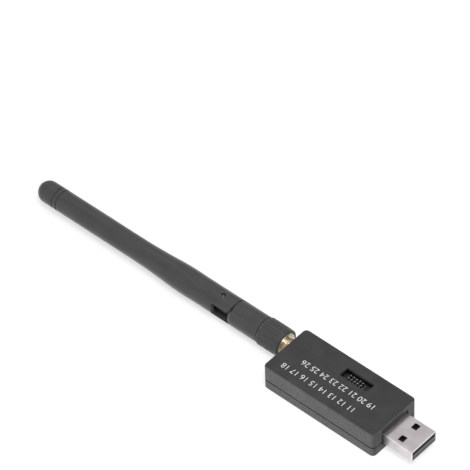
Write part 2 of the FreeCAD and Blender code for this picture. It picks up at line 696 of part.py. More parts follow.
def hex_rod(reach0, reach1, across_flats):
    """A hexagonal rod on the antenna's axis."""
    corner = across_flats / math.sqrt(3)
    points = []
    for index in range(7):
        angle = math.radians(60 * index)
        y = ANTENNA_SIDE + corner * math.cos(angle)
        z = ANTENNA_HEIGHT + corner * math.sin(angle)
        points.append(FreeCAD.Vector(END_WALL_X - reach0, y, z))
    face = Part.Face(Part.makePolygon(points))
    return face.extrude(FreeCAD.Vector(reach0 - reach1, 0, 0))


def coupling_nut():
    """The brass nut: round collar in front, hexagon inside the sleeve, grooved back wall."""
    hex_start = NUT_START_REACH + NUT_COLLAR_LENGTH
    nut = rod(NUT_START_REACH, hex_start + MERGE, NUT_COLLAR_RADIUS)
    nut = nut.fuse(hex_rod(hex_start, NUT_END_REACH, NUT_ACROSS_FLATS))
    thread_radius = JACK_RADIUS + NUT_THREAD_CLEARANCE
    thread = rod(NUT_START_REACH - OVERRUN, NUT_END_REACH - NUT_BACK_WALL, thread_radius)
    back_hole = rod(NUT_START_REACH, NUT_END_REACH + OVERRUN, NECK_RADIUS + RUNNING_CLEARANCE)
    groove_start = RING_REACH - RING_GROOVE_CLEARANCE
    groove_end = RING_REACH + RING_THICKNESS + RING_GROOVE_CLEARANCE
    groove = rod(groove_start, groove_end, RING_OUTER_RADIUS + RING_GROOVE_CLEARANCE)
    return nut.cut([thread, back_hole, groove])


def knurl_grooves():
    """V grooves along the sleeve, evenly round it."""
    start_reach = SLEEVE_START_REACH + SLEEVE_FRONT_ROUNDING + KNURL_FRONT_MARGIN
    start_x = END_WALL_X - start_reach
    length = SLEEVE_END_REACH - KNURL_BACK_MARGIN - start_reach
    half_width = KNURL_GROOVE_SHARE * math.pi * SLEEVE_RADIUS / KNURL_COUNT
    points = [
        FreeCAD.Vector(start_x, ANTENNA_SIDE - 2 * half_width, ANTENNA_HEIGHT + SLEEVE_RADIUS + KNURL_DEPTH),
        FreeCAD.Vector(start_x, ANTENNA_SIDE + 2 * half_width, ANTENNA_HEIGHT + SLEEVE_RADIUS + KNURL_DEPTH),
        FreeCAD.Vector(start_x, ANTENNA_SIDE, ANTENNA_HEIGHT + SLEEVE_RADIUS - KNURL_DEPTH),
    ]
    groove = Part.Face(Part.makePolygon(points + [points[0]])).extrude(FreeCAD.Vector(-length, 0, 0))
    grooves = []
    for index in range(KNURL_COUNT):
        copy = groove.copy()
        copy.rotate(AXIS_POINT, AXIS_WAY, 360 * index / KNURL_COUNT)
        grooves.append(copy)
    return grooves


def knurled_sleeve():
    """The plastic grip over the nut, with a round mouth and a hexagonal pocket."""
    hex_start = NUT_START_REACH + NUT_COLLAR_LENGTH
    sleeve = rod(SLEEVE_START_REACH, SLEEVE_END_REACH, SLEEVE_RADIUS)
    sleeve = round_edges_at(sleeve, SLEEVE_START_REACH, SLEEVE_RADIUS, SLEEVE_FRONT_ROUNDING)
    sleeve = round_edges_at(sleeve, SLEEVE_END_REACH, SLEEVE_RADIUS, SLEEVE_BACK_ROUNDING)
    mouth = rod(SLEEVE_START_REACH - OVERRUN, hex_start, NUT_COLLAR_RADIUS + FIXED_CLEARANCE)
    pocket_flats = NUT_ACROSS_FLATS + 2 * FIXED_CLEARANCE
    pocket = hex_rod(hex_start - FIXED_CLEARANCE, NUT_END_REACH + FIXED_CLEARANCE, pocket_flats)
    back_hole = rod(hex_start, SLEEVE_END_REACH + OVERRUN, NECK_RADIUS + SLEEVE_NECK_CLEARANCE)
    return sleeve.cut([mouth, pocket, back_hole] + knurl_grooves())


def swivel_base():
    """The moulded base round the connector's tail, with the hinge tongue at its far end."""
    base = rod(BASE_START_REACH, BASE_SHOULDER_REACH, BASE_RADIUS)
    base = round_edges_at(base, BASE_START_REACH, BASE_RADIUS, BASE_FRONT_ROUNDING)
    shoulder_x = END_WALL_X - BASE_SHOULDER_REACH
    low = ANTENNA_HEIGHT - TONGUE_HALF_THICKNESS
    high = ANTENNA_HEIGHT + TONGUE_HALF_THICKNESS
    front = ANTENNA_SIDE - TONGUE_FRONT_DISTANCE
    back = ANTENNA_SIDE + TONGUE_ROUNDING_RADIUS
    tongue = upright_rod(HINGE_X, ANTENNA_SIDE, TONGUE_ROUNDING_RADIUS, low, high)
    tongue = tongue.fuse(block(HINGE_X, shoulder_x + MERGE, front, back, low, high))
    reach = TONGUE_ROUNDING_RADIUS + OVERRUN
    beyond_front = block(HINGE_X - reach, shoulder_x, front - reach, front, low - OVERRUN, high + OVERRUN)
    tongue = tongue.cut(beyond_front)
    root_end = BASE_SHOULDER_REACH + TONGUE_ROOT_LENGTH
    root = rod(BASE_SHOULDER_REACH - MERGE, root_end, BASE_RADIUS - TONGUE_ROOT_INSET)
    root_block = block(END_WALL_X - root_end, shoulder_x + MERGE, front - reach, ANTENNA_SIDE, low, high)
    base = base.fuse([tongue, root.common(root_block)])
    channel = rod(BASE_START_REACH, HINGE_REACH + reach, CABLE_CHANNEL_RADIUS)
    slot = block(
        HINGE_X - reach,
        HINGE_X + CABLE_SLOT_BEHIND_PIN,
        front - OVERRUN,
        ANTENNA_SIDE + CABLE_CHANNEL_RADIUS,
        ANTENNA_HEIGHT - CABLE_CHANNEL_RADIUS,
        ANTENNA_HEIGHT + CABLE_CHANNEL_RADIUS,
    )
    pin_radius = HINGE_PIN_RADIUS + RUNNING_CLEARANCE
    pin_hole = upright_rod(HINGE_X, ANTENNA_SIDE, pin_radius, low - OVERRUN, high + OVERRUN)
    tail = rod(BASE_START_REACH - OVERRUN, TAIL_END_REACH, NECK_RADIUS)
    return base.cut([channel, slot, pin_hole, tail]).cut(connector_body()).removeSplitter()


def mast_outline():
    """The mast's outer form as a face: straight at the hinge, a swell, and a taper.

    The swell and the taper's hollow are flat arcs that meet at one slope, so each falls by
    half its run times that slope, and the hollow's middle lies an eighth of it above its end.
    """
    swell_run = MAST_TURN_REACH - MAST_SWELL_REACH
    hollow_run = MAST_TAPER_END_REACH - MAST_TURN_REACH
    slope = 2 * (MAST_SWELL_RADIUS - MAST_UPPER_RADIUS) / (swell_run + hollow_run)
    lead_in = math.sqrt(2 * swell_run * (MAST_SWELL_RADIUS - MAST_HINGE_RADIUS) / slope)
    turn = axis_point(MAST_TURN_REACH, MAST_SWELL_RADIUS - slope * swell_run / 2)
    hollow_middle = (MAST_TURN_REACH + MAST_TAPER_END_REACH) / 2
    hollow = axis_point(hollow_middle, MAST_UPPER_RADIUS + slope * hollow_run / 8)
    swell_start = axis_point(MAST_SWELL_REACH - lead_in, MAST_HINGE_RADIUS)
    taper_end = axis_point(MAST_TAPER_END_REACH, MAST_UPPER_RADIUS)
    corners = [
        taper_end,
        axis_point(MAST_END_REACH, MAST_UPPER_RADIUS),
        axis_point(MAST_END_REACH, 0),
        axis_point(CHEEK_REACH, 0),
        axis_point(CHEEK_REACH, MAST_HINGE_RADIUS),
        swell_start,
    ]
    edges = [
        Part.Arc(swell_start, axis_point(MAST_SWELL_REACH, MAST_SWELL_RADIUS), turn).toShape(),
        Part.Arc(turn, hollow, taper_end).toShape(),
    ]
    for start, end in zip(corners, corners[1:]):
        edges.append(Part.LineSegment(start, end).toShape())
    return Part.Face(Part.Wire(edges))


def flat_cutter(side):
    """What is cut off above (or below) to leave the hinge flat, which runs out up the mast."""
    level = ANTENNA_HEIGHT + side * FLAT_HEIGHT
    run_out = FLAT_RUN_OUT_REACH - FLAT_LEVEL_END_REACH
    rise = MAST_SWELL_RADIUS - FLAT_HEIGHT
    start = FreeCAD.Vector(END_WALL_X - FLAT_LEVEL_END_REACH, 0, level)
    middle = FreeCAD.Vector(END_WALL_X - FLAT_LEVEL_END_REACH - run_out / 2, 0, level + side * rise / 4)
    end = FreeCAD.Vector(END_WALL_X - FLAT_RUN_OUT_REACH, 0, level + side * rise)
    top = ANTENNA_HEIGHT + side * (MAST_SWELL_RADIUS + OVERRUN)
    start_x = END_WALL_X - CHEEK_REACH + OVERRUN
    corners = [
        end,
        FreeCAD.Vector(END_WALL_X - FLAT_RUN_OUT_REACH, 0, top),
        FreeCAD.Vector(start_x, 0, top),
        FreeCAD.Vector(start_x, 0, level),
        start,
    ]
    edges = [Part.Arc(start, middle, end).toShape()]
    for first, second in zip(corners, corners[1:]):
        edges.append(Part.LineSegment(first, second).toShape())
    half_width = MAST_SWELL_RADIUS + OVERRUN
    cutter = Part.Face(Part.Wire(edges)).extrude(FreeCAD.Vector(0, 2 * half_width, 0))
    cutter.translate(FreeCAD.Vector(0, ANTENNA_SIDE - half_width, 0))
    return cutter


def hinge_slot():
    """The room in the mast for the tongue, through the whole tilt."""
    half = TONGUE_HALF_THICKNESS + HINGE_SIDE_CLEARANCE
    low = ANTENNA_HEIGHT - half
    high = ANTENNA_HEIGHT + half
    slot = upright_rod(HINGE_X, ANTENNA_SIDE, TONGUE_RECESS_RADIUS, low, high)
    stop_x = HINGE_X - TONGUE_FRONT_DISTANCE - HINGE_STOP_CLEARANCE
    open_x = END_WALL_X - CHEEK_REACH + OVERRUN
    open_side = ANTENNA_SIDE - MAST_SWELL_RADIUS - OVERRUN
    slot = slot.fuse(block(stop_x, open_x, open_side, ANTENNA_SIDE, low, high))
    return slot.fuse(block(HINGE_X, open_x, open_side, ANTENNA_SIDE + TONGUE_RECESS_RADIUS, low, high))


def cheek_relief():
    """What is rounded off the cheeks' open side so that they pass the base's shoulder."""
    radius = HINGE_REACH - BASE_SHOULDER_REACH - CHEEK_RELIEF_CLEARANCE
    low = ANTENNA_HEIGHT - MAST_SWELL_RADIUS - OVERRUN
    high = ANTENNA_HEIGHT + MAST_SWELL_RADIUS + OVERRUN
    corner = block(HINGE_X, HINGE_X + 2 * radius, ANTENNA_SIDE - 2 * radius, ANTENNA_SIDE, low, high)
    return corner.cut(upright_rod(HINGE_X, ANTENNA_SIDE, radius, low, high))


def mast_sleeve():
    """The mast's moulded tube, forked at the hinge."""
    mast = mast_outline().revolve(AXIS_POINT, AXIS_WAY, 360)
    mast = round_edges_at(mast, MAST_END_REACH, MAST_UPPER_RADIUS, MAST_END_ROUNDING)
    cuts = [
        flat_cutter(1),
        flat_cutter(-1),
        hinge_slot(),
        cheek_relief(),
        rod(MAST_BORE_START_REACH, MAST_END_REACH + OVERRUN, MAST_BORE_RADIUS),
        rod(HINGE_REACH, MAST_BORE_START_REACH + MERGE, MAST_CABLE_HOLE_RADIUS),
        upright_rod(
            HINGE_X,
            ANTENNA_SIDE,
            HINGE_PIN_RADIUS + FIXED_CLEARANCE,
            ANTENNA_HEIGHT - MAST_SWELL_RADIUS - OVERRUN,
            ANTENNA_HEIGHT + MAST_SWELL_RADIUS + OVERRUN,
        ),
    ]
    for cutter in cuts:
        mast = mast.cut(cutter)
    return mast


def hinge_pins():
    """Two short pins, one through each cheek into the tongue, clear of the cable between them."""
    outer = FLAT_HEIGHT - HINGE_PIN_DIMPLE
    inner = CABLE_CHANNEL_RADIUS + RUNNING_CLEARANCE
    pins = []
    for low, high in ((inner, outer), (-outer, -inner)):
        z0 = ANTENNA_HEIGHT + low
        z1 = ANTENNA_HEIGHT + high
        pins.append(upright_rod(HINGE_X, ANTENNA_SIDE, HINGE_PIN_RADIUS, z0, z1))
    return Part.makeCompound(pins)


def tip_cap():
    """The cap: spigot in the mast, two grooves and a domed end."""
    groove_radius = MAST_UPPER_RADIUS - CAP_GROOVE_DEPTH
    ring_start = MAST_END_REACH + CAP_GROOVE_WIDTH
    second_groove = ring_start + CAP_RING_WIDTH
    dome_start = second_groove + CAP_GROOVE_WIDTH
    spigot_radius = MAST_BORE_RADIUS - CAP_SPIGOT_CLEARANCE
    cap = rod(MAST_END_REACH - CAP_SPIGOT_LENGTH, MAST_END_REACH + MERGE, spigot_radius)
    cap = cap.fuse(rod(MAST_END_REACH, dome_start + MERGE, groove_radius))
    cap = cap.fuse(rod(ring_start, second_groove, MAST_UPPER_RADIUS))
    cap = cap.fuse(rod(dome_start, CAP_CENTRE_REACH, MAST_UPPER_RADIUS))
    dome = Part.makeSphere(MAST_UPPER_RADIUS, axis_point(CAP_CENTRE_REACH, 0), AXIS_WAY)
    return cap.fuse(dome).removeSplitter()


def coax_cable():
    """The thin coaxial cable from the connector through the hinge to the dipole."""
    return rod(DIELECTRIC_END_REACH, DIPOLE_END_REACH, CABLE_RADIUS)


def dipole_sleeve():
    """The lower half of the dipole: a brass tube with a cap that the cable passes through."""
    sleeve = rod(DIPOLE_START_REACH, DIPOLE_END_REACH, DIPOLE_RADIUS)
    inner_end = DIPOLE_END_REACH - DIPOLE_CAP_THICKNESS
    room = rod(DIPOLE_START_REACH - OVERRUN, inner_end, DIPOLE_RADIUS - DIPOLE_WALL)
    hole = rod(DIPOLE_START_REACH, DIPOLE_END_REACH + OVERRUN, CABLE_RADIUS + FIXED_CLEARANCE)
    return sleeve.cut([room, hole])


def radiator_rod():
    """The upper half of the dipole."""
    return rod(DIPOLE_END_REACH + FIXED_CLEARANCE, RADIATOR_END_REACH, RADIATOR_RADIUS)


def mast_spacers():
    """Plastic rings that centre the dipole in the mast."""
    outer = MAST_BORE_RADIUS - CAP_SPIGOT_CLEARANCE
    rings = []
    for reach in DIPOLE_SPACER_REACHES:
        rings.append(tube(reach, reach + SPACER_WIDTH, outer, DIPOLE_RADIUS + FIXED_CLEARANCE))
    upper_inner = RADIATOR_RADIUS + FIXED_CLEARANCE
    rings.append(tube(RADIATOR_SPACER_REACH, RADIATOR_SPACER_REACH + SPACER_WIDTH, outer, upper_inner))
    return Part.makeCompound(rings)


PIECES = {
    "bottom_shell": bottom_shell(),
    "top_shell": top_shell(),
    "circuit_board": circuit_board(),
    "usb_shell": usb_shell(),
    "usb_insulator": usb_insulator(),
    "usb_contacts": usb_contacts(),
    "header_body": header_body(),
    "header_pins": header_pins(),
    "radio_shield": radio_shield(),
    "radio_chip": centred_block(SHIELD_PLACE, RADIO_CHIP_SIZE, BOARD_TOP),
    "bridge_chip": centred_block(BRIDGE_CHIP_PLACE, BRIDGE_CHIP_SIZE, BOARD_TOP),
    "crystal": centred_block(CRYSTAL_PLACE, CRYSTAL_SIZE, BOARD_TOP),
    "voltage_regulator": centred_block(REGULATOR_PLACE, REGULATOR_SIZE, BOARD_TOP),
    "chip_capacitors": chip_capacitors(),
    "jack_body": jack_body(),
    "jack_insulator": jack_insulator(),
    "jack_contact": jack_contact(),
    "connector_body": connector_body(),
    "connector_insulator": connector_insulator(),
    "centre_pin": centre_pin(),
    "snap_ring": snap_ring(),
    "coupling_nut": coupling_nut(),
    "knurled_sleeve": knurled_sleeve(),
    "swivel_base": swivel_base(),
    "mast_sleeve": mast_sleeve(),
    "hinge_pins": hinge_pins(),
    "tip_cap": tip_cap(),
    "coax_cable": coax_cable(),
    "dipole_sleeve": dipole_sleeve(),
    "radiator_rod": radiator_rod(),
    "mast_spacers": mast_spacers(),
}

os.makedirs("parts", exist_ok=True)
for name, shape in PIECES.items():
    shape.exportStep(f"parts/{name}.step")
    verdict = "valid" if shape.isValid() else "INVALID"
    print(name, len(shape.Solids), "solids", round(shape.Volume, 2), "mm3", verdict)
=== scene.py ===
import math

import bpy
import numpy as np
from mathutils import Matrix


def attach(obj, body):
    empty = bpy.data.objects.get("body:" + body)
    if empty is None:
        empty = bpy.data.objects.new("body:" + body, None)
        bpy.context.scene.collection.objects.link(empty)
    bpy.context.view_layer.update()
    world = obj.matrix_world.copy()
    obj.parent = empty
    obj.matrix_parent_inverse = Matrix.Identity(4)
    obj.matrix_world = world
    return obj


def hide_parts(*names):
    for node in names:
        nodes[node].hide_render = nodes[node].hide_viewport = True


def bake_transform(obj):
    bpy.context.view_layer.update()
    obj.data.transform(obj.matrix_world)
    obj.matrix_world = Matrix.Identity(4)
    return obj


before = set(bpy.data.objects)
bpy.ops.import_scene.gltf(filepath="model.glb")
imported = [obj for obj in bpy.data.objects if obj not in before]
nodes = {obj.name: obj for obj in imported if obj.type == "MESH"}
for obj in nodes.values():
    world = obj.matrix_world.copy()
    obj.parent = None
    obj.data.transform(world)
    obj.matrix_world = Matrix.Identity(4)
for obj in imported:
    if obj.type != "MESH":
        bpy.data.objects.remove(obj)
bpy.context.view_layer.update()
MM = 0.001


# Case: a tray and a cover of dark grey ABS.
# Both are moulded against a spark-eroded tool, which leaves a fine even grain. The cover snaps over
# the tray's lip, and a shallow groove runs round the case where the two meet.

CASE_HALF_SIZE = (23.4 * MM, 10.65 * MM, 5.1 * MM)
CASE_CENTRE = (0.0, 0.0, 5.1 * MM)
SEAM_HEIGHT = 3.95 * MM
SEAM_HALF = 0.2 * MM


def node(tree, kind, inputs=None, **settings):
    """Adds a shader node; an input is a value, or the output of another node."""
    made = tree.nodes.new("ShaderNode" + kind)
    for setting, value in settings.items():
        setattr(made, setting, value)
    for key, value in (inputs or {}).items():
        if isinstance(value, bpy.types.NodeSocket):
            tree.links.new(value, made.inputs[key])
        else:
            made.inputs[key].default_value = value
    return made


def mixed(tree, share, first, second):
    """A colour between two, by a share from 0 to 1."""
    blend = node(tree, "Mix", {0: share, 6: first, 7: second}, data_type="RGBA")
    return blend.outputs[2]


def ranged(tree, value, low, high, smooth=False):
    """A value's low to high range spread over 0 to 1."""
    kind = "SMOOTHSTEP" if smooth else "LINEAR"
    return node(tree, "MapRange", {0: value, 1: low, 2: high}, interpolation_type=kind).outputs[0]


def spread(tree, value, low, high):
    """A value from 0 to 1 spread over low to high."""
    return node(tree, "MapRange", {0: value, 3: low, 4: high}).outputs[0]


def sums(tree, operation, first, second=0.0):
    """One step of arithmetic on two values."""
    return node(tree, "Math", {0: first, 1: second}, operation=operation).outputs[0]


def new_effect(name, inputs, outputs):
    """A shader node group with named sockets, for an effect that several finishes share."""
    tree = bpy.data.node_groups.new(name, "ShaderNodeTree")
    for label, kind, value in inputs:
        socket = tree.interface.new_socket(label, in_out="INPUT", socket_type="NodeSocket" + kind)
        socket.default_value = value
    for label, kind in outputs:
        tree.interface.new_socket(label, in_out="OUTPUT", socket_type="NodeSocket" + kind)
    entry = tree.nodes.new("NodeGroupInput")
    way_out = tree.nodes.new("NodeGroupOutput")
    return tree, entry, way_out


def moulded_skin_effect():
    """Grain of a spark-eroded mould: fine pits, with faint cloudy change in tone and gloss."""
    tree, entry, way_out = new_effect(
        "moulded skin",
        [("Dark", "Color", (0.03, 0.03, 0.03, 1)), ("Light", "Color", (0.06, 0.06, 0.06, 1)),
         ("Grain", "Float", 5000.0), ("Dull", "Float", 0.6), ("Sleek", "Float", 0.5)],
        [("Color", "Color"), ("Roughness", "Float"), ("Height", "Float")],
    )
    place = node(tree, "TexCoord").outputs["Object"]
    clouds = node(tree, "TexNoise", {"Vector": place, "Scale": 170.0, "Detail": 4.0}).outputs[0]
    grain = node(tree, "TexNoise", {"Vector": place, "Scale": entry.outputs["Grain"], "Detail": 2.0}).outputs[0]
    cloud = ranged(tree, clouds, 0.3, 0.7)
    fleck = ranged(tree, grain, 0.35, 0.65)
    share = sums(tree, "ADD", sums(tree, "MULTIPLY", cloud, 0.55), sums(tree, "MULTIPLY", fleck, 0.45))
    tree.links.new(mixed(tree, share, entry.outputs["Dark"], entry.outputs["Light"]), way_out.inputs["Color"])
    gloss = node(tree, "MapRange", {0: share, 3: entry.outputs["Dull"], 4: entry.outputs["Sleek"]}).outputs[0]
    tree.links.new(gloss, way_out.inputs["Roughness"])
    tree.links.new(grain, way_out.inputs["Height"])
    return tree


def edge_rub_and_highlight_effect():
    """A mask for the edges of a box, for edge wear and painted edge highlight: a point's second smallest distance to
    the box's faces, in a band.
    """
    tree, entry, way_out = new_effect(
        "edge rub",
        [("Centre", "Vector", (0, 0, 0)), ("Half size", "Vector", (0.01, 0.01, 0.01)), ("Band", "Float", 0.001)],
        [("Mask", "Float")],
    )
    place = node(tree, "TexCoord").outputs["Object"]
    offset = node(tree, "VectorMath", {0: place, 1: entry.outputs["Centre"]}, operation="SUBTRACT").outputs[0]
    away = node(tree, "VectorMath", {0: offset}, operation="ABSOLUTE").outputs[0]
    inside = node(tree, "VectorMath", {0: entry.outputs["Half size"], 1: away}, operation="SUBTRACT").outputs[0]
    x, y, z = node(tree, "SeparateXYZ", {0: inside}).outputs
    nearer = sums(tree, "MINIMUM", x, y)
    further = sums(tree, "MAXIMUM", x, y)
    second = sums(tree, "MAXIMUM", nearer, sums(tree, "MINIMUM", further, z))
    patchy = node(tree, "TexNoise", {"Vector": place, "Scale": 700.0, "Detail": 3.0}).outputs[0]
    band = sums(tree, "MULTIPLY", entry.outputs["Band"], sums(tree, "ADD", patchy, 0.35))
    painted_root_highlight = node(tree, "MapRange", {0: second, 1: 0.0, 2: band, 3: 1.0, 4: 0.0}, interpolation_type="SMOOTHSTEP")
    tree.links.new(painted_root_highlight.outputs[0], way_out.inputs["Mask"])
    return tree


def new_finish(name):
    """A material, its node tree and its Principled shader."""
    material = bpy.data.materials.new(name)
    material.use_nodes = True
    return material, material.node_tree, material.node_tree.nodes["Principled BSDF"]


def placed(tree, effect, inputs):
    """An effect's node group placed in a material with its own values."""
    group = tree.nodes.new("ShaderNodeGroup")
    group.node_tree = effect
    for label, value in inputs.items():
        group.inputs[label].default_value = value
    return group


def relief(tree, shader, height, depth, strength=1.0):
    """Bumps the shader's surface by a height, with its depth in metres."""
    bump = node(tree, "Bump", {"Height": height, "Distance": depth, "Strength": strength})
    tree.links.new(bump.outputs[0], shader.inputs["Normal"])


def dress(material, *names):
    """Gives CAD nodes their finish."""
    for name in names:
        for holder in nodes[name].material_slots:
            holder.material = material


MOULDED_SKIN = moulded_skin_effect()
EDGE_RUB_AND_HIGHLIGHT = edge_rub_and_highlight_effect()


def grained_plastic(name, dark, light, grain, dull, sleek, depth):
    """A moulded plastic with the grained skin on it."""
    material, tree, shader = new_finish(name)
    skin = placed(tree, MOULDED_SKIN, {"Dark": dark, "Light": light, "Grain": grain, "Dull": dull, "Sleek": sleek})
    tree.links.new(skin.outputs["Color"], shader.inputs["Base Color"])
    tree.links.new(skin.outputs["Roughness"], shader.inputs["Roughness"])
    relief(tree, shader, skin.outputs["Height"], depth)
    return material, tree, shader, skin


def case_finish():
    """The case's grained plastic: coarser on its long sides, where a paler tone is painted light; paler along its
    edges, partly wear and partly painted highlight; and near black down in the seam, as painted shade."""
    material, tree, shader, skin = grained_plastic(
        "case plastic", (0.02, 0.02, 0.0205, 1), (0.039, 0.039, 0.04, 1), 3600.0, 0.55, 0.42, 0.012 * MM)
    # Paler along the edges: partly wear and partly a painted highlight on the edge roundings.
    rub_and_highlight = placed(tree, EDGE_RUB_AND_HIGHLIGHT, {"Centre": CASE_CENTRE, "Half size": CASE_HALF_SIZE, "Band": 0.5 * MM})
    share = sums(tree, "MULTIPLY", rub_and_highlight.outputs["Mask"], 0.8)
    place = node(tree, "TexCoord").outputs["Object"]
    facing = node(tree, "SeparateXYZ", {0: node(tree, "TexCoord").outputs["Normal"]}).outputs[1]
    long_side = ranged(tree, sums(tree, "ABSOLUTE", facing), 0.5, 0.95)
    coarse = node(tree, "TexNoise", {"Vector": place, "Scale": 1900.0, "Detail": 3.0}).outputs[0]
    # Painted light: the long sides get a paler tone that stands in for the light falling on them.
    painted_side_light = mixed(tree, ranged(tree, coarse, 0.35, 0.65), (0.052, 0.052, 0.053, 1), (0.11, 0.11, 0.112, 1))
    base = mixed(tree, long_side, skin.outputs["Color"], painted_side_light)
    colour = mixed(tree, share, base, (0.13, 0.13, 0.132, 1))
    height = node(tree, "SeparateXYZ", {0: place}).outputs[2]
    off_seam = sums(tree, "ABSOLUTE", sums(tree, "SUBTRACT", height, SEAM_HEIGHT))
    # Painted shade: the band of the seam groove is painted near black as the shade down in it.
    outside_seam_shade = ranged(tree, off_seam, SEAM_HALF, SEAM_HALF + 0.03 * MM)
    tree.links.new(mixed(tree, outside_seam_shade, (0.003, 0.003, 0.003, 1), colour), shader.inputs["Base Color"])
    return material


dress(case_finish(), "bottom_shell", "top_shell")


# Printed channel numbers: white ink on the cover beside the header's window.
# Plain numerals in two lines, pad-printed after moulding, for a radio with sixteen channels.
# The film of ink stands a hundredth of a millimetre proud of the skin.

COVER_TOP = 10.2 * MM
INK_THICKNESS = 0.012 * MM
NUMERAL_SIZE = 3.1 * MM
NUMERAL_LINES = (("11 12 13 14 15 16 17 18", -3.6, -6.1), ("19 20 21 22 23 24 25 26", 0.6, -1.1))


def ink_finish():
    """White pad-printing ink, with pinholes where the grain shows through."""
    material, tree, shader = new_finish("printing ink")
    place = node(tree, "TexCoord").outputs["Object"]
    pinholes = node(tree, "TexNoise", {"Vector": place, "Scale": 4200.0, "Detail": 2.0}).outputs[0]
    share = ranged(tree, pinholes, 0.3, 0.45)
    tree.links.new(mixed(tree, share, (0.5, 0.5, 0.5, 1), (0.9, 0.9, 0.89, 1)), shader.inputs["Base Color"])
    tree.links.new(spread(tree, pinholes, 0.5, 0.7), shader.inputs["Roughness"])
    relief(tree, shader, pinholes, 0.008 * MM)
    return material


def printed_numbers(name, lines, size, level, thickness, material):
    """Lines of numerals, each as a flat mesh of its own, turned to read from the far side of the case."""
    outlines = []
    for text, forward, side in lines:
        curve = bpy.data.curves.new(name, "FONT")
        curve.body = text
        curve.size = size
        curve.align_x = "CENTER"
        curve.align_y = "CENTER"
        curve.extrude = thickness / 2
        curve.offset = -0.012 * size
        holder = bpy.data.objects.new(name, curve)
        bpy.context.scene.collection.objects.link(holder)
        bpy.context.view_layer.update()
        mesh = bpy.data.meshes.new_from_object(holder.evaluated_get(bpy.context.evaluated_depsgraph_get()))
        bpy.data.objects.remove(holder)
        turn = Matrix.Translation((forward * MM, side * MM, level + thickness / 2)) @ Matrix.Rotation(math.pi, 4, "Z")
        mesh.transform(turn)
        outlines.append(mesh)
    pieces = []
    for mesh in outlines:
        mesh.materials.clear()
        mesh.materials.append(material)
        piece = bpy.data.objects.new(name + "_" + str(len(pieces) + 1), mesh)
        bpy.context.scene.collection.objects.link(piece)
        pieces.append(piece)
    return pieces


INK = ink_finish()
for line in printed_numbers("channel_numbers", NUMERAL_LINES, NUMERAL_SIZE, COVER_TOP, INK_THICKNESS, INK):
    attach(line, "stick")


# Circuit board and the parts soldered to it.
# Black solder mask over copper tracks on glass laminate, with black moulded chips, a tinned shield can
# and tan ceramic capacitors. It shows through the window in the cover and round the plug.

def board_finish():
    """Solder mask: near black, glossy, with tracks as faint raised ridges under it."""
    material, tree, shader = new_finish("solder mask")
    place = node(tree, "TexCoord").outputs["Object"]
    tracks = node(tree, "TexBrick", {"Vector": place, "Scale": 420.0, "Mortar Size": 0.06, "Mortar Smooth": 0.4})
    ridge = tracks.outputs["Fac"]
    haze = node(tree, "TexNoise", {"Vector": place, "Scale": 900.0, "Detail": 3.0}).outputs[0]
    base = mixed(tree, haze, (0.022, 0.026, 0.023, 1), (0.05, 0.056, 0.051, 1))
    tree.links.new(mixed(tree, ridge, base, (0.06, 0.068, 0.061, 1)), shader.inputs["Base Color"])
    tree.links.new(spread(tree, haze, 0.25, 0.42), shader.inputs["Roughness"])
    relief(tree, shader, ridge, 0.02 * MM)
    return material


def ceramic_finish():
    """Fired ceramic with tinned ends: tan grains, slightly uneven."""
    material, tree, shader = new_finish("capacitor ceramic")
    place = node(tree, "TexCoord").outputs["Object"]
    grains = node(tree, "TexVoronoi", {"Vector": place, "Scale": 9000.0}).outputs["Distance"]
    tree.links.new(mixed(tree, grains, (0.3, 0.2, 0.11, 1), (0.5, 0.36, 0.22, 1)), shader.inputs["Base Color"])
    tree.links.new(spread(tree, grains, 0.4, 0.6), shader.inputs["Roughness"])
    relief(tree, shader, grains, 0.005 * MM)
    return material


def drawn_lines_effect():
    """Fine lines left by drawing, rolling or turning: noise stretched along them."""
    tree, entry, way_out = new_effect(
        "drawn lines",
        [("Stretch", "Vector", (200.0, 6000.0, 6000.0)), ("Smudge", "Float", 300.0)],
        [("Line", "Float"), ("Cloud", "Float")],
    )
    place = node(tree, "TexCoord").outputs["Object"]
    pulled = node(tree, "VectorMath", {0: place, 1: entry.outputs["Stretch"]}, operation="MULTIPLY").outputs[0]
    lines = node(tree, "TexNoise", {"Vector": pulled, "Scale": 1.0, "Detail": 3.0}).outputs[0]
    clouds = node(tree, "TexNoise", {"Vector": place, "Scale": entry.outputs["Smudge"], "Detail": 3.0}).outputs[0]
    tree.links.new(ranged(tree, lines, 0.3, 0.7), way_out.inputs["Line"])
    tree.links.new(ranged(tree, clouds, 0.35, 0.65, smooth=True), way_out.inputs["Cloud"])
    return tree


DRAWN_LINES = drawn_lines_effect()


def lined_metal(name, dark, light, stretch, smudge, dull, sleek, depth):
    """A metal with drawn or turned lines, and cloudy change in tone and gloss."""
    material, tree, shader = new_finish(name)
    shader.inputs["Metallic"].default_value = 1.0
    lines = placed(tree, DRAWN_LINES, {"Stretch": stretch, "Smudge": smudge})
    line, cloud = lines.outputs["Line"], lines.outputs["Cloud"]
    share = sums(tree, "ADD", sums(tree, "MULTIPLY", line, 0.4), sums(tree, "MULTIPLY", cloud, 0.6))
    tree.links.new(mixed(tree, share, dark, light), shader.inputs["Base Color"])
    tree.links.new(spread(tree, share, dull, sleek), shader.inputs["Roughness"])
    relief(tree, shader, line, depth)
    return material


CHIP_BLACK = grained_plastic(
    "chip moulding", (0.012, 0.012, 0.013, 1), (0.028, 0.028, 0.03, 1), 9000.0, 0.6, 0.42, 0.006 * MM)[0]
TINNED = lined_metal(
    "tinned can", (0.52, 0.52, 0.51, 1), (0.72, 0.72, 0.7, 1), (300.0, 5200.0, 5200.0), 260.0, 0.42, 0.28, 0.003 * MM)
dress(board_finish(), "circuit_board")
dress(CHIP_BLACK, "radio_chip", "bridge_chip", "voltage_regulator")
dress(TINNED, "radio_shield", "crystal")
dress(ceramic_finish(), "chip_capacitors")


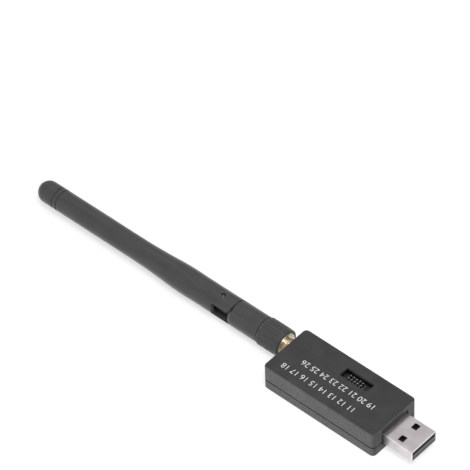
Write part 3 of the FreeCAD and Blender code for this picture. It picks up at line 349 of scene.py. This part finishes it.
# Pin header: ten square pins in two rows, pressed through a black nylon strip.
# The pins are square wire with a thin, pale gold plating, cut and coined to a blunt point, and
# soldered through the board.

HEADER_PITCH = 1.27
HEADER_CENTRE = (3.0, 4.7)
PIN_HALF = 0.2
PIN_TIP_HALF = 0.12
PIN_LEVELS = (3.6, 3.75, 8.95, 9.1)


def skin_over(rings, loop=False):
    """Points and faces over rings[ring, point]: quads join each ring to the next, and the ends are
    closed by fans to their middles, or with loop the last ring joins the first."""
    count, around = rings.shape[:2]
    starts = np.arange(count if loop else count - 1)[:, None] * around
    beyond = (starts + around) % (count * around)
    side = np.arange(around)[None, :]
    after = (side + 1) % around
    quads = np.stack([starts + side, starts + after, beyond + after, beyond + side], axis=-1).reshape(-1, 4)
    points = rings.reshape(-1, 3)
    corners = np.concatenate([quads[:, [0, 1, 2]], quads[:, [0, 2, 3]]])
    fans = np.zeros((0, 3), int)
    if not loop:
        middles = np.stack([rings[0].mean(axis=0), rings[-1].mean(axis=0)])
        points = np.concatenate([points, middles])
        first, last = count * around, count * around + 1
        near = np.stack([np.full(around, first), after[0], side[0]], axis=-1)
        far = np.stack([np.full(around, last), side[0], after[0]], axis=-1)
        far[:, 1:] += (count - 1) * around
        fans = np.concatenate([near, far])
        corners = np.concatenate([corners, fans])
    a, b, c = (points[corners[:, column]] - points.mean(axis=0) for column in range(3))
    if np.einsum("ij,ij->", a, np.cross(b, c)) < 0:
        quads, fans = quads[:, ::-1], fans[:, ::-1]
    return points, quads.tolist() + fans.tolist()


def new_piece(name, skins, material, body=None, sharp=40.0):
    """One object from several closed skins, smooth but for its sharp edges, riding on a body if named."""
    points, faces, start = [], [], 0
    for skin_points, skin_faces in skins:
        points.append(skin_points * MM)
        faces.extend([[corner + start for corner in face] for face in skin_faces])
        start += len(skin_points)
    mesh = bpy.data.meshes.new(name)
    mesh.from_pydata(np.concatenate(points).tolist(), [], faces)
    mesh.polygons.foreach_set("use_smooth", np.ones(len(faces), bool))
    mesh.set_sharp_from_angle(angle=math.radians(sharp))
    mesh.materials.append(material)
    piece = bpy.data.objects.new(name, mesh)
    bpy.context.scene.collection.objects.link(piece)
    if body:
        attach(piece, body)
    return piece


def square_bar(middle, levels, halves, ease=0.04):
    """Rings of a square bar along Z: at each level an eight-sided outline, a square with eased corners."""
    halves = np.array(halves, float)[:, None]
    long_side = halves * np.array([1, 1, 1, 1, -1, -1, -1, -1.0])
    signs_x = np.array([1, 1, 1, 1, -1, -1, -1, -1.0])
    signs_y = np.array([-1, -1, 1, 1, 1, 1, -1, -1.0])
    eased_x = np.array([1, 0, 0, 1, 1, 0, 0, 1.0])
    x = middle[0] + signs_x * (np.abs(long_side) - ease * eased_x)
    y = middle[1] + signs_y * (np.abs(long_side) - ease * (1 - eased_x))
    z = np.array(levels, float)[:, None] + 0 * x
    return np.stack([x, y, z], axis=-1)


def header_pins():
    """A skin for each pin, in five columns and two rows."""
    skins = []
    for column in range(5):
        for row in range(2):
            x = HEADER_CENTRE[0] + (column - 2) * HEADER_PITCH
            y = HEADER_CENTRE[1] + (row - 0.5) * HEADER_PITCH
            halves = (PIN_TIP_HALF, PIN_HALF, PIN_HALF, PIN_TIP_HALF)
            skins.append(skin_over(square_bar((x, y), PIN_LEVELS, halves)))
    return skins


def header_pin_finish():
    """Thin pale gold on the coined tips; below them the colour is painted dull and dark, as the shade down in the
    window.
    """
    material, tree, shader = new_finish("header pin gold")
    shader.inputs["Metallic"].default_value = 1.0
    lines = placed(tree, DRAWN_LINES, {"Stretch": (3000.0, 3000.0, 400.0), "Smudge": 500.0})
    height = node(tree, "SeparateXYZ", {0: node(tree, "TexCoord").outputs["Object"]}).outputs[2]
    tip = ranged(tree, height, 8.85 * MM, 8.98 * MM)
    # Painted shade: below the tips the pins are painted near black.
    shade = mixed(tree, lines.outputs["Line"], (0.03, 0.028, 0.024, 1), (0.06, 0.054, 0.045, 1))
    tree.links.new(mixed(tree, tip, shade, (0.92, 0.91, 0.88, 1)), shader.inputs["Base Color"])
    tree.links.new(spread(tree, lines.outputs["Cloud"], 0.42, 0.3), shader.inputs["Roughness"])
    return material


CONTACT_GOLD = lined_metal(
    "contact gold", (0.78, 0.55, 0.22, 1), (0.95, 0.74, 0.38, 1), (3000.0, 3000.0, 400.0), 500.0, 0.3, 0.18, 0.002 * MM)
HEADER_NYLON = grained_plastic(
    "header nylon", (0.05, 0.05, 0.051, 1), (0.08, 0.08, 0.082, 1), 6000.0, 0.5, 0.36, 0.006 * MM)[0]
pins = new_piece("header_pin_rows", header_pins(), header_pin_finish(), "stick")
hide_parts("header_pins")
dress(HEADER_NYLON, "header_body")


# USB-A plug: a shell folded from thin nickel-plated sheet round a moulded insulator.
# The sheet keeps the rolling lines of the strip along the plug, and the two latch holes are punched
# before folding. Four gold-plated contacts lie on the insulator's tongue.

PLUG_CENTRE = (25.975 * MM, 0.0, 5.16 * MM)
PLUG_HALF_SIZE = (9.375 * MM, 6.0 * MM, 2.25 * MM)


def plug_nickel_finish():
    """Nickel plate with rolling lines, lighter along the folded edges, partly polish and partly painted highlight."""
    material, tree, shader = new_finish("plug nickel")
    shader.inputs["Metallic"].default_value = 1.0
    lines = placed(tree, DRAWN_LINES, {"Stretch": (260.0, 7000.0, 7000.0), "Smudge": 190.0})
    rub_and_highlight = placed(tree, EDGE_RUB_AND_HIGHLIGHT, {"Centre": PLUG_CENTRE, "Half size": PLUG_HALF_SIZE, "Band": 0.7 * MM})
    share = sums(tree, "ADD", sums(tree, "MULTIPLY", lines.outputs["Line"], 0.5),
                 sums(tree, "MULTIPLY", lines.outputs["Cloud"], 0.5))
    plate = mixed(tree, share, (0.6, 0.55, 0.56, 1), (0.74, 0.69, 0.7, 1))
    # Lighter along the edges: partly polish and partly a painted highlight.
    tree.links.new(mixed(tree, rub_and_highlight.outputs["Mask"], plate, (0.9, 0.88, 0.87, 1)), shader.inputs["Base Color"])
    worn = sums(tree, "SUBTRACT", spread(tree, share, 0.44, 0.3), sums(tree, "MULTIPLY", rub_and_highlight.outputs["Mask"], 0.08))
    tree.links.new(worn, shader.inputs["Roughness"])
    relief(tree, shader, lines.outputs["Line"], 0.003 * MM)
    return material


INSULATOR_FRONT = 33.0 * MM


def insulator_finish():
    """Grey nylon at the plug's mouth; further in it is painted near black as shade."""
    material, tree, shader, skin = grained_plastic(
        "plug insulator", (0.07, 0.07, 0.074, 1), (0.11, 0.11, 0.115, 1), 5000.0, 0.58, 0.45, 0.006 * MM)
    forward = node(tree, "SeparateXYZ", {0: node(tree, "TexCoord").outputs["Object"]}).outputs[0]
    # Painted shade: behind the mouth the colour goes near black, standing in for the dark inside the plug.
    share = ranged(tree, forward, INSULATOR_FRONT, INSULATOR_FRONT + 1.0 * MM)
    colour = mixed(tree, share, (0.012, 0.012, 0.012, 1), skin.outputs["Color"])
    tree.links.new(colour, shader.inputs["Base Color"])
    return material


dress(plug_nickel_finish(), "usb_shell")
dress(insulator_finish(), "usb_insulator")
dress(CONTACT_GOLD, "usb_contacts")


# Coaxial jack: a brass barrel through the end wall, with a 1/4-36 thread and a square flange inside.
# Turned from bar and gold plated. Four legs solder the flange to the board's edge, and a white
# dielectric carries the centre socket.

END_WALL = -23.4
AXIS_SIDE = 4.5
AXIS_HEIGHT = 5.3
THREAD_PITCH = 25.4 / 36
THREAD_DEPTH = 0.4
BARREL_RADIUS = 3.175
FLANGE_HALF = 3.2
LEG_HALF = 0.5


def rounded(corners, steps=5):
    """A closed outline of (reach, radius) rows, from corners of (reach, radius, rounding) rows: each
    corner with a rounding becomes an arc that leaves both its sides at their directions."""
    outline = []
    for index, (reach, radius, rounding) in enumerate(corners):
        here = np.array([reach, radius])
        back = np.array(corners[index - 1][:2]) - here
        onward = np.array(corners[(index + 1) % len(corners)][:2]) - here
        if rounding == 0:
            outline.append(here[None, :])
            continue
        back, onward = back / np.linalg.norm(back), onward / np.linalg.norm(onward)
        half_angle = math.acos(float(np.clip(back @ onward, -1, 1))) / 2
        middle = here + (back + onward) / np.linalg.norm(back + onward) * rounding / math.sin(half_angle)
        setback = rounding / math.tan(half_angle)
        share = np.linspace(0, 1, steps + 1)[:, None]
        spokes = (1 - share) * (here + back * setback - middle) + share * (here + onward * setback - middle)
        outline.append(middle + rounding * spokes / np.linalg.norm(spokes, axis=1, keepdims=True))
    return np.concatenate(outline)


def divided(outline, step, closed=True):
    """An outline with points added along its long sides, no further apart than a step."""
    ends = np.roll(outline, -1, axis=0) if closed else np.concatenate([outline[1:], outline[-1:]])
    parts = []
    for start, end in zip(outline, ends):
        count = max(1, math.ceil(float(np.linalg.norm(end - start)) / step))
        parts.append(start + (end - start) * np.arange(count)[:, None] / count)
    return np.concatenate(parts)


def turned(reach, radius, around):
    """Rings about the antenna's axis: x is the end wall less the reach, and y and z go round the axis
    at the radius, which may differ from point to point of a ring."""
    turn = np.linspace(0, 2 * np.pi, around, endpoint=False)[None, :]
    x = END_WALL - reach[:, None] + 0 * turn
    y = AXIS_SIDE + radius * np.sin(turn)
    z = AXIS_HEIGHT + radius * np.cos(turn)
    return np.stack([x, y, z], axis=-1)


def thread_wave(reach, around):
    """A right-hand thread's groove depth from 0 at the crest to 1 at the root: a triangle wave of the
    reach in pitches less the turn, with its tips cut off."""
    turn = np.linspace(0, 1, around, endpoint=False)[None, :]
    phase = (reach[:, None] / THREAD_PITCH - turn) % 1
    return np.clip((np.abs(2 * phase - 1) - 0.12) / 0.66, 0, 1)


def faded(value, low, high, fade):
    """1 between two values, falling smoothly to 0 outside them over a fade."""
    share = np.clip(np.minimum(value - low, high - value) / fade + 1, 0, 1)
    return share * share * (3 - 2 * share)


def jack_barrel(around=96):
    """The barrel's closed outline turned, with the thread cut into its outer side."""
    corners = [
        (-3.3, 2.08, 0), (-3.3, BARREL_RADIUS, 0), (9.12, BARREL_RADIUS, 0), (9.4, 2.85, 0.05), (9.4, 2.33, 0.08),
        (7.5, 2.33, 0), (7.5, 2.08, 0),
    ]
    outline = divided(rounded(corners, 3), THREAD_PITCH / 12)
    reach, radius = outline[:, 0], outline[:, 1]
    cut = (radius > BARREL_RADIUS - 0.3) * faded(reach, 0.9, 9.4, 0.4)
    grooves = THREAD_DEPTH * cut[:, None] * thread_wave(reach, around)
    return turned(reach, np.minimum(radius[:, None], np.maximum(BARREL_RADIUS - grooves, 2.5)), around)


def eased_block(low, high, ease):
    """A block along X with eased edges: eight-sided rings, drawn in at both ends."""
    low, high = np.array(low, float), np.array(high, float)
    middle, half = (low + high) / 2, (high - low) / 2
    across = np.array([half[1], half[2]])
    rings = []
    for x, inset in ((low[0], ease), (low[0] + ease, 0), (high[0] - ease, 0), (high[0], ease)):
        a, b = across - inset
        y = np.array([a - ease, a, a, a - ease, ease - a, -a, -a, ease - a])
        z = np.array([b, b - ease, ease - b, -b, -b, ease - b, b - ease, b])
        rings.append(np.stack([np.full(8, x), middle[1] + y, middle[2] + z], axis=-1))
    return np.stack(rings)


def jack_skins():
    """The barrel, the flange behind the wall and the four legs on the board's edge."""
    back, front = END_WALL + 3.3, END_WALL + 1.4
    skins = [skin_over(jack_barrel(), loop=True)]
    flange_low = (front, AXIS_SIDE - FLANGE_HALF, AXIS_HEIGHT - FLANGE_HALF)
    flange_high = (back, AXIS_SIDE + FLANGE_HALF, AXIS_HEIGHT + FLANGE_HALF)
    skins.append(skin_over(eased_block(flange_low, flange_high, 0.12)))
    for side in (-1, 1):
        for level in (4.5 - 2 * LEG_HALF, 6.1):
            middle = AXIS_SIDE + side * (FLANGE_HALF - LEG_HALF)
            low = (back - 0.2, middle - LEG_HALF, level)
            high = (back + 3.6, middle + LEG_HALF, level + 2 * LEG_HALF)
            skins.append(skin_over(eased_block(low, high, 0.08)))
    return skins


def gold_brass_finish():
    """Gold-plated brass: turned rings along the axis, browner where the light plating has worn."""
    material, tree, shader = new_finish("gold brass")
    shader.inputs["Metallic"].default_value = 1.0
    lines = placed(tree, DRAWN_LINES, {"Stretch": (9000.0, 260.0, 260.0), "Smudge": 420.0})
    line, cloud = lines.outputs["Line"], lines.outputs["Cloud"]
    share = sums(tree, "ADD", sums(tree, "MULTIPLY", line, 0.35), sums(tree, "MULTIPLY", cloud, 0.65))
    tree.links.new(mixed(tree, share, (0.74, 0.62, 0.44, 1), (0.95, 0.87, 0.72, 1)), shader.inputs["Base Color"])
    tree.links.new(spread(tree, share, 0.42, 0.28), shader.inputs["Roughness"])
    relief(tree, shader, line, 0.003 * MM)
    return material


GOLD_BRASS = gold_brass_finish()
DIELECTRIC = grained_plastic(
    "dielectric", (0.68, 0.68, 0.65, 1), (0.82, 0.82, 0.79, 1), 4000.0, 0.5, 0.38, 0.006 * MM)[0]
jack = new_piece("jack", jack_skins(), GOLD_BRASS, "stick")
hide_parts("jack_body")
dress(DIELECTRIC, "jack_insulator", "connector_insulator", "mast_spacers")
dress(CONTACT_GOLD, "jack_contact", "centre_pin")
dress(GOLD_BRASS, "connector_body", "snap_ring")


# Coupling nut: a brass collar that shows as a bright rim in the sleeve's mouth, and a hexagon behind
# it that the sleeve grips. It is bored and threaded to screw over the jack, and its grooved back
# wall holds the snap ring.

NUT_BORE_RADIUS = 3.275
NUT_THREAD_DEPTH = 0.2


def hexagon(half_flats, around):
    """The radius of a hexagon round a ring: half its flats over the cosine of the turn from the
    nearest flat's middle."""
    turn = np.linspace(0, 2 * np.pi, around, endpoint=False)
    off = (turn + np.pi / 6) % (np.pi / 3) - np.pi / 6
    return half_flats / np.cos(off)


def coupling_nut(around=144):
    """The nut's closed outline turned; its outer side is hexagonal past the collar, and its bore has
    the thread cut outwards."""
    corners = [
        (3.05, NUT_BORE_RADIUS, 0.1), (3.05, 3.9, 0.15), (5.4, 3.9, 0), (5.4, 4.55, 0), (11.0, 4.55, 0),
        (11.0, 2.95, 0), (10.46, 2.95, 0), (10.46, 3.36, 0), (9.94, 3.36, 0), (9.94, 2.95, 0),
        (9.7, 2.95, 0), (9.7, NUT_BORE_RADIUS, 0),
    ]
    outline = divided(rounded(corners, 4), THREAD_PITCH / 10)
    reach, radius = outline[:, 0], outline[:, 1]
    inner = (np.abs(radius - NUT_BORE_RADIUS) < 1e-6) * faded(reach, 5.0, 9.2, 0.4)
    grooves = NUT_THREAD_DEPTH * inner[:, None] * thread_wave(reach, around)
    outer = radius[:, None] + grooves
    flats = np.where(radius[:, None] > 4.0, np.minimum(outer, hexagon(3.9, around)[None, :]), outer)
    return turned(reach, flats, around)


nut = new_piece("nut", [skin_over(coupling_nut(), loop=True)], GOLD_BRASS, "coupling", sharp=50.0)
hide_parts("coupling_nut")


# Knurled sleeve: the plastic grip moulded over the nut.
# Fine straight ridges run along it between a broad rounding at its mouth and a plain back edge.
# Inside it has a round mouth for the collar and a hexagonal pocket.

KNURL_COUNT = 28
KNURL_DEPTH = 0.24
SLEEVE_RADIUS = 5.1


def knurled_grip(around=KNURL_COUNT * 18):
    """The sleeve's closed outline turned: V grooves evenly round its outer side, faded at both ends."""
    corners = [
        (3.2, 3.92, 0.1), (3.2, 4.98, 0.4), (4.7, SLEEVE_RADIUS, 1.0), (12.2, SLEEVE_RADIUS, 0.3),
        (12.2, 3.15, 0.15), (11.02, 3.15, 0), (11.02, 4.6, 0), (5.38, 4.6, 0), (5.38, 3.92, 0),
    ]
    outline = divided(rounded(corners, 7), 0.28)
    reach, radius = outline[:, 0], outline[:, 1]
    share = (np.linspace(0, KNURL_COUNT, around, endpoint=False) + 0.5) % 1 - 0.5
    groove = np.clip(1.3 - np.abs(share) / 0.2, 0, 1)
    outside = (radius > 4.75) * faded(reach, 4.9, 11.6, 0.15)
    surface = radius[:, None] - KNURL_DEPTH * outside[:, None] * groove[None, :]
    pocket = (np.abs(radius - 4.6) < 1e-6)[:, None]
    return turned(reach, np.where(pocket, hexagon(3.92, around)[None, :], surface), around)


PARTING_PLACE = END_WALL - 24.65


def antenna_plastic_finish():
    """The antenna's smooth dark plastic, with faint flow marks along it, a painted highlight at the tongue's root, and
    painted shade on the faces at the parting.
    """
    material, tree, shader, skin = grained_plastic(
        "antenna plastic", (0.044, 0.044, 0.045, 1), (0.06, 0.06, 0.061, 1), 6500.0, 0.58, 0.46, 0.008 * MM)
    shader.inputs["Specular IOR Level"].default_value = 0.28
    shader.inputs["Sheen Weight"].default_value = 1.0
    shader.inputs["Sheen Roughness"].default_value = 0.3
    flow = placed(tree, DRAWN_LINES, {"Stretch": (60.0, 900.0, 900.0), "Smudge": 90.0})
    share = sums(tree, "MULTIPLY", flow.outputs["Line"], 0.42)
    colour = mixed(tree, share, skin.outputs["Color"], (0.075, 0.075, 0.077, 1))
    x, _, z = node(tree, "SeparateXYZ", {0: node(tree, "TexCoord").outputs["Object"]}).outputs
    off_parting = sums(tree, "ABSOLUTE", sums(tree, "SUBTRACT", x, PARTING_PLACE * MM))
    off_axis = sums(tree, "ABSOLUTE", sums(tree, "SUBTRACT", z, AXIS_HEIGHT * MM))
    between_cheeks = ranged(tree, off_axis, 2.6 * MM, 2.2 * MM)
    # Painted highlight: a pale band on the tongue's root beside the parting, where its rounding would catch the light.
    painted_root_highlight = sums(tree, "MULTIPLY", ranged(tree, off_parting, 0.75 * MM, 0.35 * MM), between_cheeks)
    colour = mixed(tree, painted_root_highlight, colour, (0.12, 0.12, 0.122, 1))
    # Painted shade: the faces at the parting, outside the tongue, are painted near black as the shade in the gap.
    shaded = ranged(tree, off_parting, 0.3 * MM, 0.22 * MM)
    shaded = sums(tree, "MULTIPLY", shaded, spread(tree, between_cheeks, 1.0, 0.0))
    tree.links.new(mixed(tree, shaded, colour, (0.015, 0.015, 0.015, 1)), shader.inputs["Base Color"])
    return material


ANTENNA_PLASTIC = antenna_plastic_finish()
grip = new_piece("grip", [skin_over(knurled_grip(), loop=True)], ANTENNA_PLASTIC, "coupling", sharp=60.0)
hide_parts("knurled_sleeve")


# Swivel base and forked mast: the antenna's moulded plastic housing.
# The base turns on the connector, the mast tilts on the base's tongue, and both have the same skin
# as the sleeve.

dress(ANTENNA_PLASTIC, "swivel_base", "mast_sleeve")


# Hinge pins: two short blackened steel pins, pressed through the mast's cheeks into the tongue.
# Each end is domed and lies just below the flat, in its own dimple.

HINGE_X = -54.0
HINGE_PIN_RADIUS = 1.0


def upright_turned(middle, levels, radii, around=48):
    """Rings about an upright axis, at each level with its radius."""
    turn = np.linspace(0, 2 * np.pi, around, endpoint=False)[None, :]
    radii = np.array(radii, float)[:, None]
    x = middle[0] + radii * np.cos(turn)
    y = middle[1] + radii * np.sin(turn)
    z = np.array(levels, float)[:, None] + 0 * turn
    return np.stack([x, y, z], axis=-1)


def hinge_pin_skins():
    """A pin above the cable and one below it, the same but turned over."""
    heights = np.array([1.13, 1.2, 3.75, 3.85, 3.96, 4.05, 4.08])
    radii = (0.92, HINGE_PIN_RADIUS, HINGE_PIN_RADIUS, 0.95, 0.8, 0.5, 0.15)
    skins = []
    for way in (1, -1):
        levels = AXIS_HEIGHT + way * heights
        skins.append(skin_over(upright_turned((HINGE_X, AXIS_SIDE), levels, radii)))
    return skins


BLACKENED = lined_metal(
    "blackened steel", (0.07, 0.07, 0.07, 1), (0.14, 0.14, 0.14, 1), (4000.0, 4000.0, 800.0), 700.0, 0.5, 0.38, 0.003 * MM)
hinge = new_piece("hinge_pin_ends", hinge_pin_skins(), BLACKENED, "mast")
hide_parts("hinge_pins")


# Tip cap: a moulded plug with a domed end and two narrow grooves, glued into the mast.

CAP_RADIUS = 4.025
CAP_GROOVE_RADIUS = 3.625
DOME_CENTRE = 110.05


def tip_cap(around=96):
    """The spigot, grooves and ring turned, then a dome: the reach goes with the sine of the dome's
    angle, and the radius with its cosine."""
    corners = [
        (99.4, 0.02, 0), (99.4, 2.85, 0.15), (103.4, 2.85, 0), (103.4, CAP_GROOVE_RADIUS, 0),
        (103.85, CAP_GROOVE_RADIUS, 0), (103.85, CAP_RADIUS, 0.1), (105.3, CAP_RADIUS, 0.1),
        (105.3, CAP_GROOVE_RADIUS, 0), (105.75, CAP_GROOVE_RADIUS, 0), (105.75, CAP_RADIUS, 0.1),
        (DOME_CENTRE, CAP_RADIUS, 0),
    ]
    rise = np.linspace(0, np.pi / 2, 25)[1:-1]
    dome = np.stack([DOME_CENTRE + CAP_RADIUS * np.sin(rise), CAP_RADIUS * np.cos(rise)], axis=-1)
    outline = np.concatenate([rounded(corners, 4), dome])
    last = np.array([[DOME_CENTRE + CAP_RADIUS * 0.9999, 0.02]])
    outline = np.concatenate([outline, last])
    return turned(outline[:, 0], outline[:, 1:], around)


cap = new_piece("cap", [skin_over(tip_cap())], ANTENNA_PLASTIC, "mast", sharp=50.0)
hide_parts("tip_cap")


# Cable and radiating parts inside the mast.
# A thin coaxial cable with a brown jacket runs from the connector through the hinge to a brass tube
# and rod held by white rings.

CABLE_RADIUS = 0.9


def cable_finish():
    """Extruded jacket: brown, smooth, with faint lines along it."""
    material, tree, shader = new_finish("cable jacket")
    lines = placed(tree, DRAWN_LINES, {"Stretch": (300.0, 4000.0, 4000.0), "Smudge": 500.0})
    share = lines.outputs["Cloud"]
    tree.links.new(mixed(tree, share, (0.2, 0.09, 0.035, 1), (0.3, 0.15, 0.07, 1)), shader.inputs["Base Color"])
    tree.links.new(spread(tree, share, 0.45, 0.32), shader.inputs["Roughness"])
    relief(tree, shader, lines.outputs["Line"], 0.004 * MM)
    return material


def cable_tube(around=24):
    """A tube along the axis, with its rings closest through the hinge."""
    reach = np.concatenate([np.linspace(14.2, 26, 8), np.linspace(26.5, 36, 39), np.linspace(37, 70, 20)])
    return turned(reach, np.full((len(reach), 1), CABLE_RADIUS), around)


cable = new_piece("cable", [skin_over(cable_tube())], cable_finish())
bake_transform(cable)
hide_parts("coax_cable")
RAW_BRASS = lined_metal(
    "drawn brass", (0.55, 0.38, 0.16, 1), (0.78, 0.58, 0.28, 1), (300.0, 6000.0, 6000.0), 300.0, 0.36, 0.24, 0.003 * MM)
dress(RAW_BRASS, "dipole_sleeve", "radiator_rod")


# Studio: a pale floor, a sky brightest at the horizon, five soft lights, and the camera.
# The camera stands where one fitted to the photograph's edges stands, turned slightly about its view.

CAMERA_PLACE = (0.512774, -0.591418, 0.89604)
CAMERA_AZIMUTH = 43.2521
CAMERA_ELEVATION = 46.2189
CAMERA_ROLL = -2.0061
CAMERA_LENS = 282.101


def floor_finish():
    """A pale, faintly mottled paper that glows, as on a light table, and is clear from below."""
    material, tree, shader = new_finish("floor paper")
    place = node(tree, "TexCoord").outputs["Object"]
    mottle = node(tree, "TexNoise", {"Vector": place, "Scale": 30.0, "Detail": 3.0}).outputs[0]
    tree.links.new(mixed(tree, mottle, (0.38, 0.38, 0.38, 1), (0.42, 0.42, 0.42, 1)), shader.inputs["Base Color"])
    shader.inputs["Roughness"].default_value = 0.9
    shader.inputs["Emission Color"].default_value = (1.0, 1.0, 1.0, 1)
    shader.inputs["Emission Strength"].default_value = 0.65
    below = node(tree, "NewGeometry").outputs["Backfacing"]
    clear = node(tree, "BsdfTransparent").outputs[0]
    choice = node(tree, "MixShader", {0: below, 1: shader.outputs[0], 2: clear}).outputs[0]
    tree.links.new(choice, tree.nodes["Material Output"].inputs["Surface"])
    return material


def soft_light(name, place, aim, size, power):
    """A square area light that faces a point."""
    data = bpy.data.lights.new(name, "AREA")
    data.shape = "SQUARE"
    data.size = size
    data.energy = power
    lamp = bpy.data.objects.new(name, data)
    bpy.context.scene.collection.objects.link(lamp)
    way = np.array(aim, float) - np.array(place, float)
    lamp.location = place
    lamp.rotation_euler = (
        math.acos(-way[2] / float(np.linalg.norm(way))),
        0.0,
        math.atan2(way[1], way[0]) - math.pi / 2,
    )


floor_mesh = bpy.data.meshes.new("floor")
FLOOR_LEVEL = -0.02 * MM
corners = [(-3, -3, FLOOR_LEVEL), (3, -3, FLOOR_LEVEL), (3, 3, FLOOR_LEVEL), (-3, 3, FLOOR_LEVEL)]
floor_mesh.from_pydata(corners, [], [(0, 1, 2, 3)])
floor_mesh.materials.append(floor_finish())
floor = bpy.data.objects.new("floor", floor_mesh)
bpy.context.scene.collection.objects.link(floor)

world = bpy.data.worlds.new("studio")
world.use_nodes = True
sky = world.node_tree
height = node(sky, "SeparateXYZ", {0: node(sky, "TexCoord").outputs["Generated"]}).outputs[2]
horizon = spread(sky, ranged(sky, height, 0.0, 0.35), 1.18, 0.0)
dome = spread(sky, ranged(sky, height, 0.35, 0.8), 0.0, 0.167)
sky.nodes["Background"].inputs["Color"].default_value = (1.0, 1.0, 1.0, 1)
sky.links.new(sums(sky, "ADD", horizon, dome), sky.nodes["Background"].inputs["Strength"])
bpy.context.scene.world = world
MIDDLE = (-0.05, 0.0, 0.005)
soft_light("key softbox", (0.3, -0.25, 1.0), MIDDLE, 0.5, 8.1)
soft_light("back softbox", (-0.6, 0.35, 0.7), MIDDLE, 0.5, 1.28)
soft_light("left softbox", (-0.44, -0.75, 0.5), MIDDLE, 0.35, 0.9)
soft_light("right softbox", (0.75, 0.5, 0.43), MIDDLE, 0.4, 0.9)
soft_light("overhead softbox", (-0.1, 0.0, 1.0), MIDDLE, 0.5, 1.25)

bpy.context.scene.view_settings.view_transform = "Standard"
camera_data = bpy.data.cameras.new("camera")
camera_data.lens = CAMERA_LENS
camera_data.sensor_width = 36.0
camera_data.clip_start = 0.01
camera = bpy.data.objects.new("camera", camera_data)
bpy.context.scene.collection.objects.link(camera)
camera.matrix_world = (
    Matrix.Translation(CAMERA_PLACE)
    @ Matrix.Rotation(math.radians(CAMERA_AZIMUTH), 4, "Z")
    @ Matrix.Rotation(math.radians(90 - CAMERA_ELEVATION), 4, "X")
    @ Matrix.Rotation(math.radians(CAMERA_ROLL), 4, "Z")
)
bpy.context.scene.camera = camera
